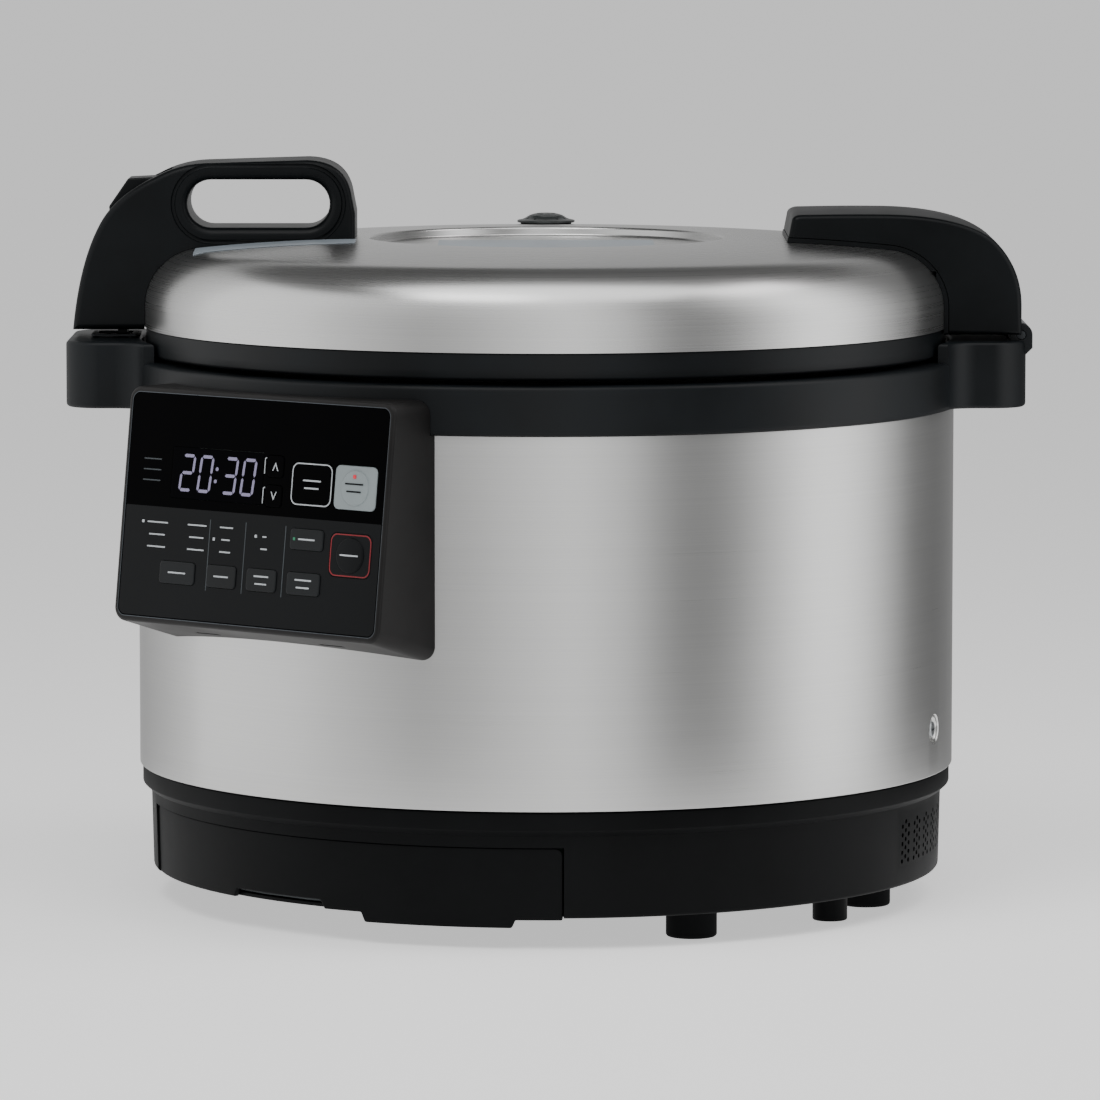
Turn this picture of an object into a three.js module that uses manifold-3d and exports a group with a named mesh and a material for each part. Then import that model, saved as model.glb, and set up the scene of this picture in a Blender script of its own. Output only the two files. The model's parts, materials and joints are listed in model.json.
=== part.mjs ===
// A large free-standing rice cooker with a hinged steel lid, a control panel on its front left,
// an induction coil under its pot and a cooling fan in its base.
//
// Millimetres, +Z up. The pot's axis is the line x = y = 0 while the pieces are made, and the feet
// stand on z = 0. The lid's handle points along -X and its hinge is at +X. An azimuth is an angle
// round the pot's axis, from -Y towards +X, in degrees.

import * as THREE from "three";
import { mergeVertices } from "three/addons/utils/BufferGeometryUtils.js";
import Module from "manifold-3d";

const wasm = await Module();
wasm.setup();

// ---------------------------------------------------------------------------------------------
// Driving dimensions
// ---------------------------------------------------------------------------------------------

const clearance = 0.3; // between pieces that touch or sit in one another
const runningClearance = 0.08; // between a pin and its bores

// outer casing
const skinGap = 54; // from the pot's wall out to the skin
const skinWall = 1;
const footHeight = 16;
const baseHeight = 54.7; // from the base's lower edge to the band that carries the skin
const baseWall = 4;
const baseInset = 6; // the base's wall stands this far inside the skin
const bandHeight = 12;
const floorThickness = 2;
const electricsHeight = 48.1; // free height over the floor for the fan and the boards
const footInset = 28.4; // the feet's ring, in from the floor's edge
const footRadius = 13;
const stubRadius = 9;
const inletRadius = 10.6;
const inletDrop = 18.7; // the inlet's axis, below the band

// upper ring and ears
const ringOverhang = 3;
const ringHeight = 24.5;
const ringWall = 3;
const deckLedge = 4.5; // from the pot's wall to the deck's inner edge
const flangeRoom = 7; // from the pot's flange to the step in the deck
const deckDrop = 6.3; // the pot's seat lies this far below the ring's top
const earLength = 33; // beyond the ring
const earMargin = 9; // the ear's side, beyond the hinge arm's
const earRise = 10.2; // above the ring's top
const earCornerRadius = 18;
const earRoof = 9.7; // thickness left over the finger hollow
const earWall = 4;

// lid
const lidGap = 2.2;
const lidInset = 7.5; // the lid's rim, in from the ring's outer face
const lidRingHeight = 13.7;
const lidWall = 3;
const domeOverhang = 1;
const domeWall = 1;
const domeSide = 11; // straight lower part of the dome
const shoulderRadius = 30.4;
const crownRise = 46; // recess rim above the dome's lower edge
const recessInset = 116.5; // the recess's rim, in from the dome's edge
const recessDepth = 5;
const ventInset = 24.5; // the vent's axis, inside the pot's radius
const ventRadius = 15.7;
const capHeight = 5.2;
const recessEdge = 3;

// pot and heater
const potRadius = 160.5;
const potWall = 2.5;
const potDepth = 190.5;
const potCorner = 40;
const potFlange = 16.5;
const wellGap = 6;
const wellWall = 1.5;
const bowlGap = 4;
const bowlWall = 3;
const coilThickness = 6.5;
const coilInset = 4.5; // the outer coil, in from the pot's flat bottom
const coilBand = 30;
const coilSpacing = 8;
const coilCore = 40;
const ferriteThickness = 7.5;
const sensorRadius = 12;

// handle, latch and hinge
const handleDepth = 50;
const handleOverhang = 36.5; // the handle's end, beyond the dome
const handleLength = 147.8;
const handleRise = 87.3; // top of the handle above the dome's lower edge
const loopLength = 74.4;
const loopHeight = 25;
const loopInset = 97.3; // the slot's middle, in from the handle's end
const loopRise = 64.5;
const latchWidth = 26;
const latchOverhang = 11; // the latch's pivot, beyond the dome
const latchRise = 37;
const latchPinRadius = 2.5;
const armCheek = 3.6; // the arm's side, beyond the end of the hinge pin
const armLength = 122;
const armRise = 62.1;
const bracketDrop = 45.3; // the bracket's top plate, below the arm's top
const trimThickness = 2.3;
const hingeRise = 2.8; // the hinge's axis, above the ears
const hingeOverhang = 30.2; // the hinge's axis, beyond the ring
const knuckleRadius = 6;
const hingePinRadius = 2.5;
const barrelHalfLength = 28.4;
const lugWidth = 8.5;
const lugGap = 0.5; // between a lug and the bracket's barrel

// control panel
const panelAzimuth = -39.6;
const panelTilt = 6.85;
const panelStandOff = 17.5; // centre of the panel's face, out from the skin
const panelDrop = 6.7; // the panel's top edge, below the ring's top
const panelBorder = 2.6;
const panelLedge = 4;
const facePlate = 2.4;
const housingWall = 3;
const housingDrop = 11; // how far the housing's underside slopes down to the skin
const buttonGap = 0.35;
const displayWidth = 62;
const displayHeight = 26;
const largeKeyWidth = 27.5;
const largeKeyHeight = 22;
const smallKeyHeight = 11.4;
const timerKeyHeight = 10.6;
const hourKeySize = 11;
const keyRowGap = 11.3;
const keyColumnGap = 1.4;
const displayKeyGap = 2.5;
const hourKeyGap = 5.65;
const faceLeftMargin = 30.3;
const faceRightMargin = 5.75;
const faceTopMargin = 29.7;
const faceBottomMargin = 18.1;

// base openings
const filterFrom = -78.5;
const filterTo = 2.5;
const filterDrop = 6.7; // the cover's top edge, below the band
const filterLipDrop = 5; // the cover's lip, below the wall's lower edge
const filterThickness = 4;
const coverWall = 3;
const grilleFrom = 61.5;
const grilleTo = 118.5;
const grilleRise = 10.5;
const grilleDrop = 4.7; // the grille's top edge, below the band

// smoothness
const roundSteps = 40;
const innerSteps = 32;
const smallSteps = 20;
const cornerSteps = 4;

// ---------------------------------------------------------------------------------------------
// Levels and places that follow from them
// ---------------------------------------------------------------------------------------------

// from the feet up to the pot
const baseBottom = footHeight;
const bandTop = baseBottom + baseHeight;
const bandBottom = bandTop - bandHeight;
const floorTop = baseBottom + clearance + floorThickness;
const barBottom = floorTop + electricsHeight;
const barTop = barBottom + ferriteThickness;
const coilBottom = barTop + clearance;
const coilTop = coilBottom + coilThickness;
const bowlTop = coilTop + clearance + bowlWall;
const potBottom = bowlTop + bowlGap;
const potTop = potBottom + potDepth + potWall;

// from the pot's flange up to the lid
const deckTop = potTop - potWall - clearance;
const ringTop = deckTop + deckDrop;
const ringBottom = ringTop - ringHeight;
const skinBottom = bandTop + clearance;
const skinTop = ringBottom - clearance;
const earTop = ringTop + earRise;
const gripTop = earTop - earRoof;
const lidBottom = ringTop + lidGap;
const domeBottom = lidBottom + lidRingHeight + clearance;
const crownTop = domeBottom + crownRise;
const recessFloor = crownTop - recessDepth;
const hingeLevel = earTop + hingeRise;
const latchLevel = domeBottom + latchRise;

// along the hinge's axis, out from its middle
const lugMiddle = barrelHalfLength + lugGap + lugWidth / 2;
const pinEnd = lugMiddle + lugWidth / 2;
const armDepth = 2 * (pinEnd + armCheek);
const earHalfWidth = armDepth / 2 + earMargin;

// out from the pot's axis
const potFlangeRadius = potRadius + potFlange;
const deckInnerRadius = potRadius + deckLedge;
const deckOuterRadius = potFlangeRadius + flangeRoom;
const skinRadius = potRadius + skinGap;
const ringRadius = skinRadius + ringOverhang;
const lidRadius = ringRadius - lidInset;
const lidCutRadius = lidRadius + 2;
const domeRadius = lidRadius + domeOverhang;
const recessRadius = domeRadius - recessInset;
const coilRadius = potRadius - potCorner - coilInset;
const earReach = ringRadius + earLength;
const handleEnd = domeRadius + handleOverhang;
const handleFoot = handleEnd - handleLength;
const loopCentre = handleEnd - loopInset;
const latchReach = domeRadius + latchOverhang;
const hingeReach = ringRadius + hingeOverhang;
const armEnd = hingeReach + 0.1;
const armTip = armEnd - armLength;

// ---------------------------------------------------------------------------------------------
// Shapes and solids
// ---------------------------------------------------------------------------------------------

const radians = THREE.MathUtils.degToRad;

/** A three.js geometry as a manifold solid. */
function solid(geometry) {
  const bare = geometry.clone();
  bare.deleteAttribute("normal");
  bare.deleteAttribute("uv");
  const merged = mergeVertices(bare, 1e-4);
  return new wasm.Manifold(
    new wasm.Mesh({
      numProp: 3,
      vertProperties: merged.attributes.position.array,
      triVerts: new Uint32Array(merged.index.array),
    }),
  );
}

/** A manifold solid as a three.js geometry. */
function surface(body) {
  const mesh = body.getMesh();
  const geometry = new THREE.BufferGeometry();
  const corners = new THREE.Float32BufferAttribute(mesh.vertProperties, 3);
  geometry.setAttribute("position", corners);
  geometry.setIndex(new THREE.Uint32BufferAttribute(mesh.triVerts, 1));
  const faceted = geometry.toNonIndexed();
  faceted.computeVertexNormals();
  return faceted;
}

/** Joins every solid of a list. */
function joined(bodies) {
  return bodies.reduce((whole, body) => whole.add(body));
}

/** Cuts every solid of a list from the first one. */
function cut(body, tools) {
  return tools.reduce((rest, tool) => rest.subtract(tool), body);
}

/** A closed [radius, height] outline turned about +Z, whichever way round it is listed. */
function turned(outline, steps = roundSteps) {
  const points = outline.map(([r, z]) => new THREE.Vector2(r, z));
  if (THREE.ShapeUtils.area(points) < 0) points.reverse();
  points.push(points[0].clone());
  const geometry = new THREE.LatheGeometry(points, steps);
  geometry.rotateX(Math.PI / 2);
  return solid(geometry);
}

/** A cylinder between two levels about the line through (x, y). */
function drum(radius, low, high, steps = roundSteps, x = 0, y = 0) {
  const geometry = new THREE.CylinderGeometry(radius, radius, high - low, steps);
  geometry.rotateX(Math.PI / 2);
  geometry.translate(x, y, (low + high) / 2);
  return solid(geometry);
}

/** A tube wall between two radii and two levels. */
function tube(inner, outer, low, high, steps = roundSteps) {
  const outline = [
    [inner, low],
    [outer, low],
    [outer, high],
    [inner, high],
  ];
  return turned(outline, steps);
}

/** A box between two corners. */
function block(from, to) {
  const size = to.map((value, i) => value - from[i]);
  const geometry = new THREE.BoxGeometry(...size);
  geometry.translate(...from.map((value, i) => value + size[i] / 2));
  return solid(geometry);
}

/** A shape drawn in x and y, raised from one level to another. */
function raised(shape, low, high, curveSegments = cornerSteps) {
  const options = { depth: high - low, bevelEnabled: false, curveSegments };
  const geometry = new THREE.ExtrudeGeometry(shape, options);
  geometry.translate(0, 0, low);
  return solid(geometry);
}

/** A shape drawn in x and z, spread evenly to both sides of y = 0, with its edges broken. */
function spread(shape, width, edge = 0, curveSegments = cornerSteps) {
  const options = {
    depth: width - 2 * edge,
    bevelEnabled: edge > 0,
    bevelThickness: edge,
    bevelSize: edge,
    bevelOffset: -edge,
    bevelSegments: 2,
    curveSegments,
  };
  const geometry = new THREE.ExtrudeGeometry(shape, options);
  geometry.rotateX(Math.PI / 2);
  geometry.translate(0, width / 2 - edge, 0);
  return solid(geometry);
}

/** A cylinder along Y through (x, z), between two values of y. */
function rod(radius, x, z, from, to, steps = smallSteps) {
  const geometry = new THREE.CylinderGeometry(radius, radius, to - from, steps);
  geometry.translate(x, (from + to) / 2, z);
  return solid(geometry);
}

/** A closed straight-sided shape. */
function polygon(corners) {
  return new THREE.Shape(corners.map(([x, y]) => new THREE.Vector2(x, y)));
}

/** A rectangle with round corners, centred on (x, y). */
function roundedRectangle(width, height, radius, x = 0, y = 0) {
  const right = width / 2 - radius;
  const top = height / 2 - radius;
  const shape = new THREE.Shape();
  shape.absarc(x + right, y + top, radius, 0, Math.PI / 2);
  shape.absarc(x - right, y + top, radius, Math.PI / 2, Math.PI);
  shape.absarc(x - right, y - top, radius, Math.PI, 1.5 * Math.PI);
  shape.absarc(x + right, y - top, radius, 1.5 * Math.PI, 2 * Math.PI);
  return shape;
}

/** The place at an azimuth and a distance from the pot's axis, as [x, y]. */
function around(azimuth, distance) {
  const angle = radians(azimuth);
  return [distance * Math.sin(angle), -distance * Math.cos(angle)];
}

/** A slice of the space round the pot's axis, between two azimuths and two levels. */
function wedge(from, to, low, high, radius = 2 * skinRadius) {
  const steps = Math.max(2, Math.ceil((to - from) / 15));
  const rim = Array.from({ length: steps + 1 }, (_, i) => around(from + ((to - from) * i) / steps, radius));
  return raised(polygon([[0, 0], ...rim]), low, high);
}

/** The same solid turned by an azimuth, so that what was made at -Y stands there. */
function swung(body, azimuth) {
  return body.rotate([0, 0, azimuth]);
}

/** A coil spring of round wire along +Z, as a solid. */
function coilSpring(radius, wire, low, high, turns) {
  const points = Array.from({ length: turns * 8 + 1 }, (_, i) => {
    const angle = (i / 8) * 2 * Math.PI;
    const height = low + wire + ((high - low - 2 * wire) * i) / (turns * 8);
    return new THREE.Vector3(radius * Math.cos(angle), radius * Math.sin(angle), height);
  });
  const path = new THREE.CatmullRomCurve3(points);
  const section = new THREE.Shape();
  section.absarc(0, 0, wire, 0, 2 * Math.PI);
  const options = { steps: turns * 8, extrudePath: path, curveSegments: 3, bevelEnabled: false };
  return solid(new THREE.ExtrudeGeometry(section, options));
}

// ---------------------------------------------------------------------------------------------
// Materials
// ---------------------------------------------------------------------------------------------

function finish(color, roughness, metalness = 0) {
  return new THREE.MeshStandardMaterial({ color, roughness, metalness });
}

const brushedSteel = finish(0xb4b5b4, 0.34, 1);
const polishedSteel = finish(0xc2c3c2, 0.2, 1);
const zincSteel = finish(0x9a9c9d, 0.45, 1);
const aluminium = finish(0xb9bbbd, 0.4, 1);
const copper = finish(0xb5713f, 0.35, 1);
const blackPlastic = finish(0x1c2022, 0.42);
const warmBlackPlastic = finish(0x34302e, 0.46);
const glossBlack = finish(0x0d1013, 0.12);
const rubber = finish(0x1d1e1f, 0.85);
const silicone = finish(0xd8d8d4, 0.6);
const heatProofPlastic = finish(0xc9c4b6, 0.6);
const panelGrey = finish(0x3c4145, 0.4);
const silverPlastic = finish(0xa9adb0, 0.35);
const redPlastic = finish(0x7e2020, 0.4);
const boardGreen = finish(0x24563a, 0.55);
const displayGlass = finish(0x8f8aa3, 0.15);
const ferrite = finish(0x2b2b2d, 0.7);
const filterMesh = finish(0x45494b, 0.8);

const cooker = new THREE.Group();

/** Adds one piece to the cooker, or to a group that has its own place. */
function piece(name, body, material, group = cooker) {
  const mesh = new THREE.Mesh(surface(body), material);
  mesh.name = name;
  group.add(mesh);
  return mesh;
}

// ---------------------------------------------------------------------------------------------
// Base: wall, floor, feet, air openings and power inlet
// ---------------------------------------------------------------------------------------------

const baseOuter = skinRadius - baseInset;
const baseInner = baseOuter - baseWall - 0.5;
const bandOuter = skinRadius - 1.5;
const inletLevel = bandBottom - inletDrop;
const filterTop = bandBottom - filterDrop;
const filterLip = baseBottom - filterLipDrop;
const grilleBottom = baseBottom + grilleRise;
const grilleTop = bandBottom - grilleDrop;

function baseWallOutline() {
  return [
    [baseOuter - 2, baseBottom],
    [baseOuter - 1, baseBottom + 1.5],
    [baseOuter, bandBottom - 0.5],
    [baseOuter + 1, bandBottom - 0.5],
    [bandOuter, bandBottom + 2],
    [bandOuter, bandTop],
    [bandOuter - baseWall, bandTop],
    [bandOuter - baseWall, bandBottom + 5],
    [baseInner, bandBottom],
    [baseInner, baseBottom],
  ];
}

const inletHole = rod(inletRadius + clearance, 0, inletLevel, 0, 2 * skinRadius);
piece(
  "base_wall",
  cut(turned(baseWallOutline()), [
    wedge(filterFrom, filterTo, baseBottom - 1, filterTop),
    wedge(grilleFrom, grilleTo, grilleBottom, grilleTop),
    inletHole,
  ]),
  blackPlastic,
);

const floorRadius = baseInner - 2 * clearance;
const footRing = floorRadius - footInset;
const stubRing = footRing + 6;
const stubLift = 0.4; // the stubs stop short of the surface the feet stand on
const frontFeet = [25, 72.7];
const rearFoot = panelAzimuth + 180;
// The feet lie evenly to both sides of the line through the panel and the rear foot.
const footAzimuths = [...frontFeet, ...frontFeet.map((az) => 2 * panelAzimuth - az), rearFoot];
const stubAzimuths = [54, 2 * panelAzimuth - 54];

function floorSlot(index) {
  const slot = raised(roundedRectangle(60, 5, 2.4), baseBottom - 1, floorTop + 1, 2);
  return slot.translate([0, 30 + 14 * index, 0]);
}

function stub(azimuth) {
  const [x, y] = around(azimuth, stubRing);
  return drum(stubRadius, stubLift, baseBottom + 1, 12, x, y);
}

const floorPlate = drum(floorRadius, baseBottom + clearance, floorTop);
const floorSlots = Array.from({ length: 5 }, (_, i) => floorSlot(i));
piece("bottom_plate", cut(joined([floorPlate, ...stubAzimuths.map(stub)]), floorSlots), blackPlastic);

footAzimuths.forEach((azimuth, index) => {
  const [x, y] = around(azimuth, footRing);
  const pad = turned(
    [
      [0, 0],
      [footRadius - 1.5, 0],
      [footRadius, 1.5],
      [footRadius, footHeight],
      [0, footHeight],
    ],
    16,
  );
  piece(`foot_${index + 1}`, pad.translate([x, y, 0]), rubber);
});

function grilleSlot(azimuth) {
  const halfSlot = 0.55;
  return wedge(azimuth - halfSlot, azimuth + halfSlot, grilleBottom + 3, grilleTop - 3);
}

const slotCount = 19;
const slotEdge = 4; // degrees from the grille's end to its first slot
const slotPitch = (grilleTo - grilleFrom - 2 * slotEdge) / (slotCount - 1);
const grilleSlots = Array.from({ length: slotCount }, (_, i) => {
  return grilleSlot(grilleFrom + slotEdge + i * slotPitch);
});
const grilleBody = tube(baseInner - 2.5, baseInner - clearance, grilleBottom - 3, grilleTop + 2);
const grillePlate = grilleBody.intersect(wedge(grilleFrom - 1, grilleTo + 1, 0, skinTop));
piece("exhaust_grille", cut(grillePlate, grilleSlots), blackPlastic);

const coverOuter = baseOuter - 2;
const coverInner = coverOuter - coverWall;
const coverEdge = 0.15; // degrees of gap at each end of the cover
const filterMiddle = (filterFrom + filterTo) / 2;

const notchFrom = -50.7;
const notchTo = -33;
const notchHeight = 9.5;
const tongueFrom = -27;
const tongueTo = -4.8;
const tongueDepth = 25;

/** The cover: full height beside the lip, with a notch for the fingers and a tongue along the lip. */
function filterCover() {
  const wall = tube(coverInner, coverOuter, filterLip, filterTop - clearance);
  const reach = wedge(filterFrom + coverEdge, filterTo - coverEdge, 0, skinTop);
  const notch = wedge(notchFrom, notchTo, 0, filterLip + notchHeight);
  const raisedLeft = wedge(filterFrom - 1, notchFrom + 0.7, 0, baseBottom);
  const raisedMiddle = wedge(notchTo - 1, tongueFrom, 0, baseBottom);
  const raisedRight = wedge(tongueTo, filterTo + 1, 0, baseBottom - 1);
  const tongue = tube(coverOuter - tongueDepth, coverOuter - 1, filterLip, filterLip + 2.5);
  const tray = tongue.intersect(wedge(tongueFrom + 0.2, tongueTo - 0.2, 0, skinTop));
  const lip = cut(wall.intersect(reach), [notch, raisedLeft, raisedMiddle, raisedRight]);
  return lip.add(tray);
}

piece("filter_cover", filterCover(), blackPlastic);

const filterOuter = coverInner - clearance;
const filterInner = filterOuter - filterThickness;
const filterPad = tube(filterInner, filterOuter, floorTop + 1, filterTop - 3);
const filterReach = wedge(filterFrom + 3, filterTo - 3, 0, skinTop);
piece("air_filter", filterPad.intersect(filterReach), filterMesh);

const inletBody = joined([
  rod(inletRadius, 0, inletLevel, baseInner - 10, baseOuter + 0.5),
  rod(inletRadius + 3.5, 0, inletLevel, baseOuter + clearance, baseOuter + 3.5),
]);
const inletSocket = rod(inletRadius - 4, 0, inletLevel, baseInner - 4, baseOuter + 6);
piece("power_inlet", inletBody.subtract(inletSocket), rubber);

// ---------------------------------------------------------------------------------------------
// Steel skin with its pressed dimple and screw
// ---------------------------------------------------------------------------------------------

const dimpleAzimuth = 70;
const dimpleLevel = skinBottom + 24;
const dimpleRadius = 8;
const dimpleDepth = 2.2;

function dimpled(body) {
  const boss = rod(dimpleRadius + 2, 0, dimpleLevel, -skinRadius + 0.6, -skinRadius + 4);
  const hollow = rod(dimpleRadius, 0, dimpleLevel, -skinRadius - 2, -skinRadius + dimpleDepth);
  return body.add(swung(boss, dimpleAzimuth)).subtract(swung(hollow, dimpleAzimuth));
}

const wiringMiddle = ringTop - 66.5;
const wiringHole = wedge(panelAzimuth - 12, panelAzimuth + 12, wiringMiddle - 25, wiringMiddle + 25);
const skin = tube(skinRadius - skinWall, skinRadius, skinBottom, skinTop).subtract(wiringHole);
piece("outer_skin", dimpled(skin), brushedSteel);

const screwFace = skinRadius - dimpleDepth;
const screwHead = rod(4.2, 0, dimpleLevel, -screwFace - 1.6, -screwFace - clearance);
const screwSlot = block([-3, -screwFace - 3, dimpleLevel - 0.5], [3, -screwFace - 1, dimpleLevel + 0.5]);
piece("skin_screw", swung(screwHead.subtract(screwSlot), dimpleAzimuth), zincSteel);

// ---------------------------------------------------------------------------------------------
// Upper ring with two ears
// ---------------------------------------------------------------------------------------------

function ringOutline() {
  const edge = 2.5;
  return [
    [ringRadius, ringBottom],
    [ringRadius, ringTop - edge],
    [ringRadius - 0.7, ringTop - 0.7],
    [ringRadius - edge, ringTop],
    [deckOuterRadius + 2.5, ringTop],
    [deckOuterRadius, deckTop],
    [deckInnerRadius, deckTop],
    [deckInnerRadius, deckTop - ringWall],
    [deckOuterRadius + 3, deckTop - ringWall],
    [deckOuterRadius + 3, ringTop - ringWall],
    [ringRadius - ringWall - 1, ringTop - ringWall],
    [ringRadius - ringWall - 1, ringBottom],
  ];
}

/** An ear's plan, pointing along +X, smaller all round by an inset. */
function earPlan(inset) {
  const radius = earCornerRadius - inset;
  const reach = earReach - inset;
  const half = earHalfWidth - inset;
  const fillet = 10;
  const start = skinRadius - 22;
  const root = Math.sqrt(ringRadius ** 2 - (half + fillet) ** 2);
  const shape = new THREE.Shape();
  shape.moveTo(start, -half - fillet);
  shape.lineTo(root, -half - fillet);
  shape.quadraticCurveTo(root + 4, -half, root + 4 + fillet, -half);
  shape.absarc(reach - radius, -half + radius, radius, -Math.PI / 2, 0);
  shape.absarc(reach - radius, half - radius, radius, 0, Math.PI / 2);
  shape.lineTo(root + 4 + fillet, half);
  shape.quadraticCurveTo(root + 4, half, root, half + fillet);
  shape.lineTo(start, half + fillet);
  return shape;
}

function ear() {
  const outside = raised(earPlan(0), ringBottom, earTop);
  const grip = raised(earPlan(earWall), ringBottom - 1, gripTop);
  const keepRing = drum(ringRadius, ringBottom - 2, gripTop + 1);
  const underRing = drum(ringRadius - 1, ringBottom - 2, ringTop - ringWall);
  const lidSpace = drum(lidCutRadius, ringTop - ringWall / 2, earTop + 1);
  return cut(outside, [grip.subtract(keepRing), underRing, lidSpace]);
}

/** One of the two lugs that carry the hinge pin, at its middle y. */
function hingeLug(middle) {
  const shape = new THREE.Shape();
  shape.moveTo(hingeReach - knuckleRadius, earTop - 8);
  shape.lineTo(earReach - 2, earTop - 11);
  shape.lineTo(hingeReach + knuckleRadius, earTop - 5);
  shape.absarc(hingeReach, hingeLevel, knuckleRadius, 0, Math.PI, false);
  return spread(shape, lugWidth, 0, 6).translate([0, middle, 0]);
}

function hingeEar() {
  const inside = lugMiddle - 0.4;
  const barrelSpace = rod(knuckleRadius + 0.8, hingeReach, hingeLevel, -inside, inside);
  const boreRadius = hingePinRadius + runningClearance;
  const bore = rod(boreRadius, hingeReach, hingeLevel, -pinEnd - 1, pinEnd + 1);
  const betweenLugs = barrelSpace.subtract(hingeLug(lugMiddle)).subtract(hingeLug(-lugMiddle));
  const body = ear().subtract(betweenLugs);
  return joined([body, hingeLug(lugMiddle), hingeLug(-lugMiddle)]).subtract(bore);
}

const strikeMiddle = -latchReach - 4;
const strikeHalfLength = 9.5;
const hookHalfWidth = 8;
const hookPocket = block(
  [strikeMiddle - strikeHalfLength, -hookHalfWidth - 2, gripTop + 2.5],
  [strikeMiddle + strikeHalfLength, hookHalfWidth + 2, earTop + 1],
);
const hookPocketLeft = ear().rotate([0, 0, 180]).subtract(hookPocket);
piece("upper_ring", joined([turned(ringOutline()), hingeEar(), hookPocketLeft]), blackPlastic);

const strikeBase = earTop + clearance;
const strikeTop = strikeBase + 1.5;
const strikeEdge = 3;
const strikeBody = block(
  [strikeMiddle - strikeHalfLength - strikeEdge, -hookHalfWidth - 7, strikeBase],
  [strikeMiddle + strikeHalfLength + strikeEdge, hookHalfWidth + 7, strikeTop],
);
const strikeSlot = block(
  [strikeMiddle - strikeHalfLength, -hookHalfWidth - 1.5, strikeBase - 1],
  [strikeMiddle + strikeHalfLength - 1, hookHalfWidth + 1.5, strikeTop + 1],
);
piece("strike_plate", strikeBody.subtract(strikeSlot), zincSteel);

// ---------------------------------------------------------------------------------------------
// Pot, heater and what cools and drives it
// ---------------------------------------------------------------------------------------------

/** The points of a quarter circle in a [radius, height] outline. */
function arcPoints(centre, radius, from, to, steps) {
  return Array.from({ length: steps + 1 }, (_, i) => {
    const angle = radians(from + ((to - from) * i) / steps);
    return [centre[0] + radius * Math.cos(angle), centre[1] + radius * Math.sin(angle)];
  });
}

function potOutline() {
  const centre = [potRadius - potCorner, potBottom + potCorner];
  return [
    [0, potBottom],
    ...arcPoints(centre, potCorner, -90, 0, 5),
    [potRadius, potTop - potWall],
    [potFlangeRadius, potTop - potWall],
    [potFlangeRadius, potTop],
    [potRadius - potWall, potTop],
    ...arcPoints(centre, potCorner - potWall, 0, -90, 5),
    [0, potBottom + potWall],
  ];
}

piece("inner_pot", turned(potOutline(), innerSteps), polishedSteel);

const bowlRadius = potRadius + wellGap + 4;
const bowlRim = bowlTop + 11.5;
const bowlOutline = [
  [sensorRadius + 6, bowlTop],
  [potRadius - potCorner + 2, bowlTop],
  [potRadius - 9, bowlRim],
  [bowlRadius, bowlRim],
  [bowlRadius, bowlRim - bowlWall],
  [potRadius - 8, bowlRim - bowlWall],
  [potRadius - potCorner + 3, bowlTop - bowlWall],
  [sensorRadius + 6, bowlTop - bowlWall],
];
piece("coil_bowl", turned(bowlOutline, innerSteps), heatProofPlastic);

const wellRadius = potRadius + wellGap;
const wellBottom = bowlRim + 2 * clearance;
const wellTop = deckTop - ringWall - 2 * clearance;
const wellBody = tube(wellRadius, wellRadius + wellWall, wellBottom, wellTop, innerSteps);
piece("pot_well", wellBody, zincSteel);

const outerCoilInside = coilRadius - coilBand;
const innerCoilRadius = outerCoilInside - coilSpacing;
const innerCoil = tube(coilCore, innerCoilRadius, coilBottom, coilTop, smallSteps);
const outerCoil = tube(outerCoilInside, coilRadius, coilBottom, coilTop, innerSteps);
piece("coil_inner", innerCoil, copper);
piece("coil_outer", outerCoil, copper);

const barHalfWidth = 6;
const hubRadius = coilCore - 4;
const hubThickness = 2;

function ferriteBar(index) {
  const near = [hubRadius - 6, -barHalfWidth, barBottom];
  const far = [coilRadius + 2, barHalfWidth, barTop];
  return block(near, far).rotate([0, 0, 60 * index]);
}

const bars = Array.from({ length: 6 }, (_, i) => ferriteBar(i));
const barHub = drum(hubRadius, barBottom, barBottom + hubThickness, smallSteps);
piece("ferrite_star", joined([barHub, ...bars]), ferrite);

const sensorHeight = 9.6;
const sensorTop = potBottom - 0.4;
const sensorBase = sensorTop - sensorHeight;
const sensorOutline = [
  [0, sensorBase],
  [sensorRadius + 3, sensorBase],
  [sensorRadius + 3, sensorBase + 1.8],
  [sensorRadius, sensorBase + 1.8],
  [sensorRadius, sensorTop],
  [0, sensorTop],
];
piece("pot_sensor", turned(sensorOutline, smallSteps), aluminium);
const springRadius = 6;
const springWire = 0.6;
const springBottom = barBottom + hubThickness + clearance;
const springTop = sensorBase - clearance;
piece("sensor_spring", coilSpring(springRadius, springWire, springBottom, springTop, 3), zincSteel);

const fanSize = 80;
const fanHeight = 25;
const fanBottom = floorTop + 4;
const fanBore = fanSize / 2 - 3;
const fanTip = fanBore - 2;
const fanHub = 15;
const fanRoom = 14.6; // from the fan's corner to the filter
const fanReach = filterInner - fanSize / Math.SQRT2 - fanRoom;
const [fanX, fanY] = around(filterMiddle, fanReach);
const fanPlace = [fanX, fanY, 0];

function fanFrame() {
  const body = raised(roundedRectangle(fanSize, fanSize, 5), fanBottom, fanBottom + fanHeight, 2);
  const bore = drum(fanBore, fanBottom - 1, fanBottom + fanHeight + 1, smallSteps);
  const motor = drum(fanHub, fanBottom, fanBottom + 4, 12);
  const strut = block([-fanSize / 2 + 2, -2, fanBottom], [fanSize / 2 - 2, 2, fanBottom + 3]);
  return joined([body.subtract(bore), motor, strut, strut.rotate([0, 0, 90])]);
}

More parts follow.
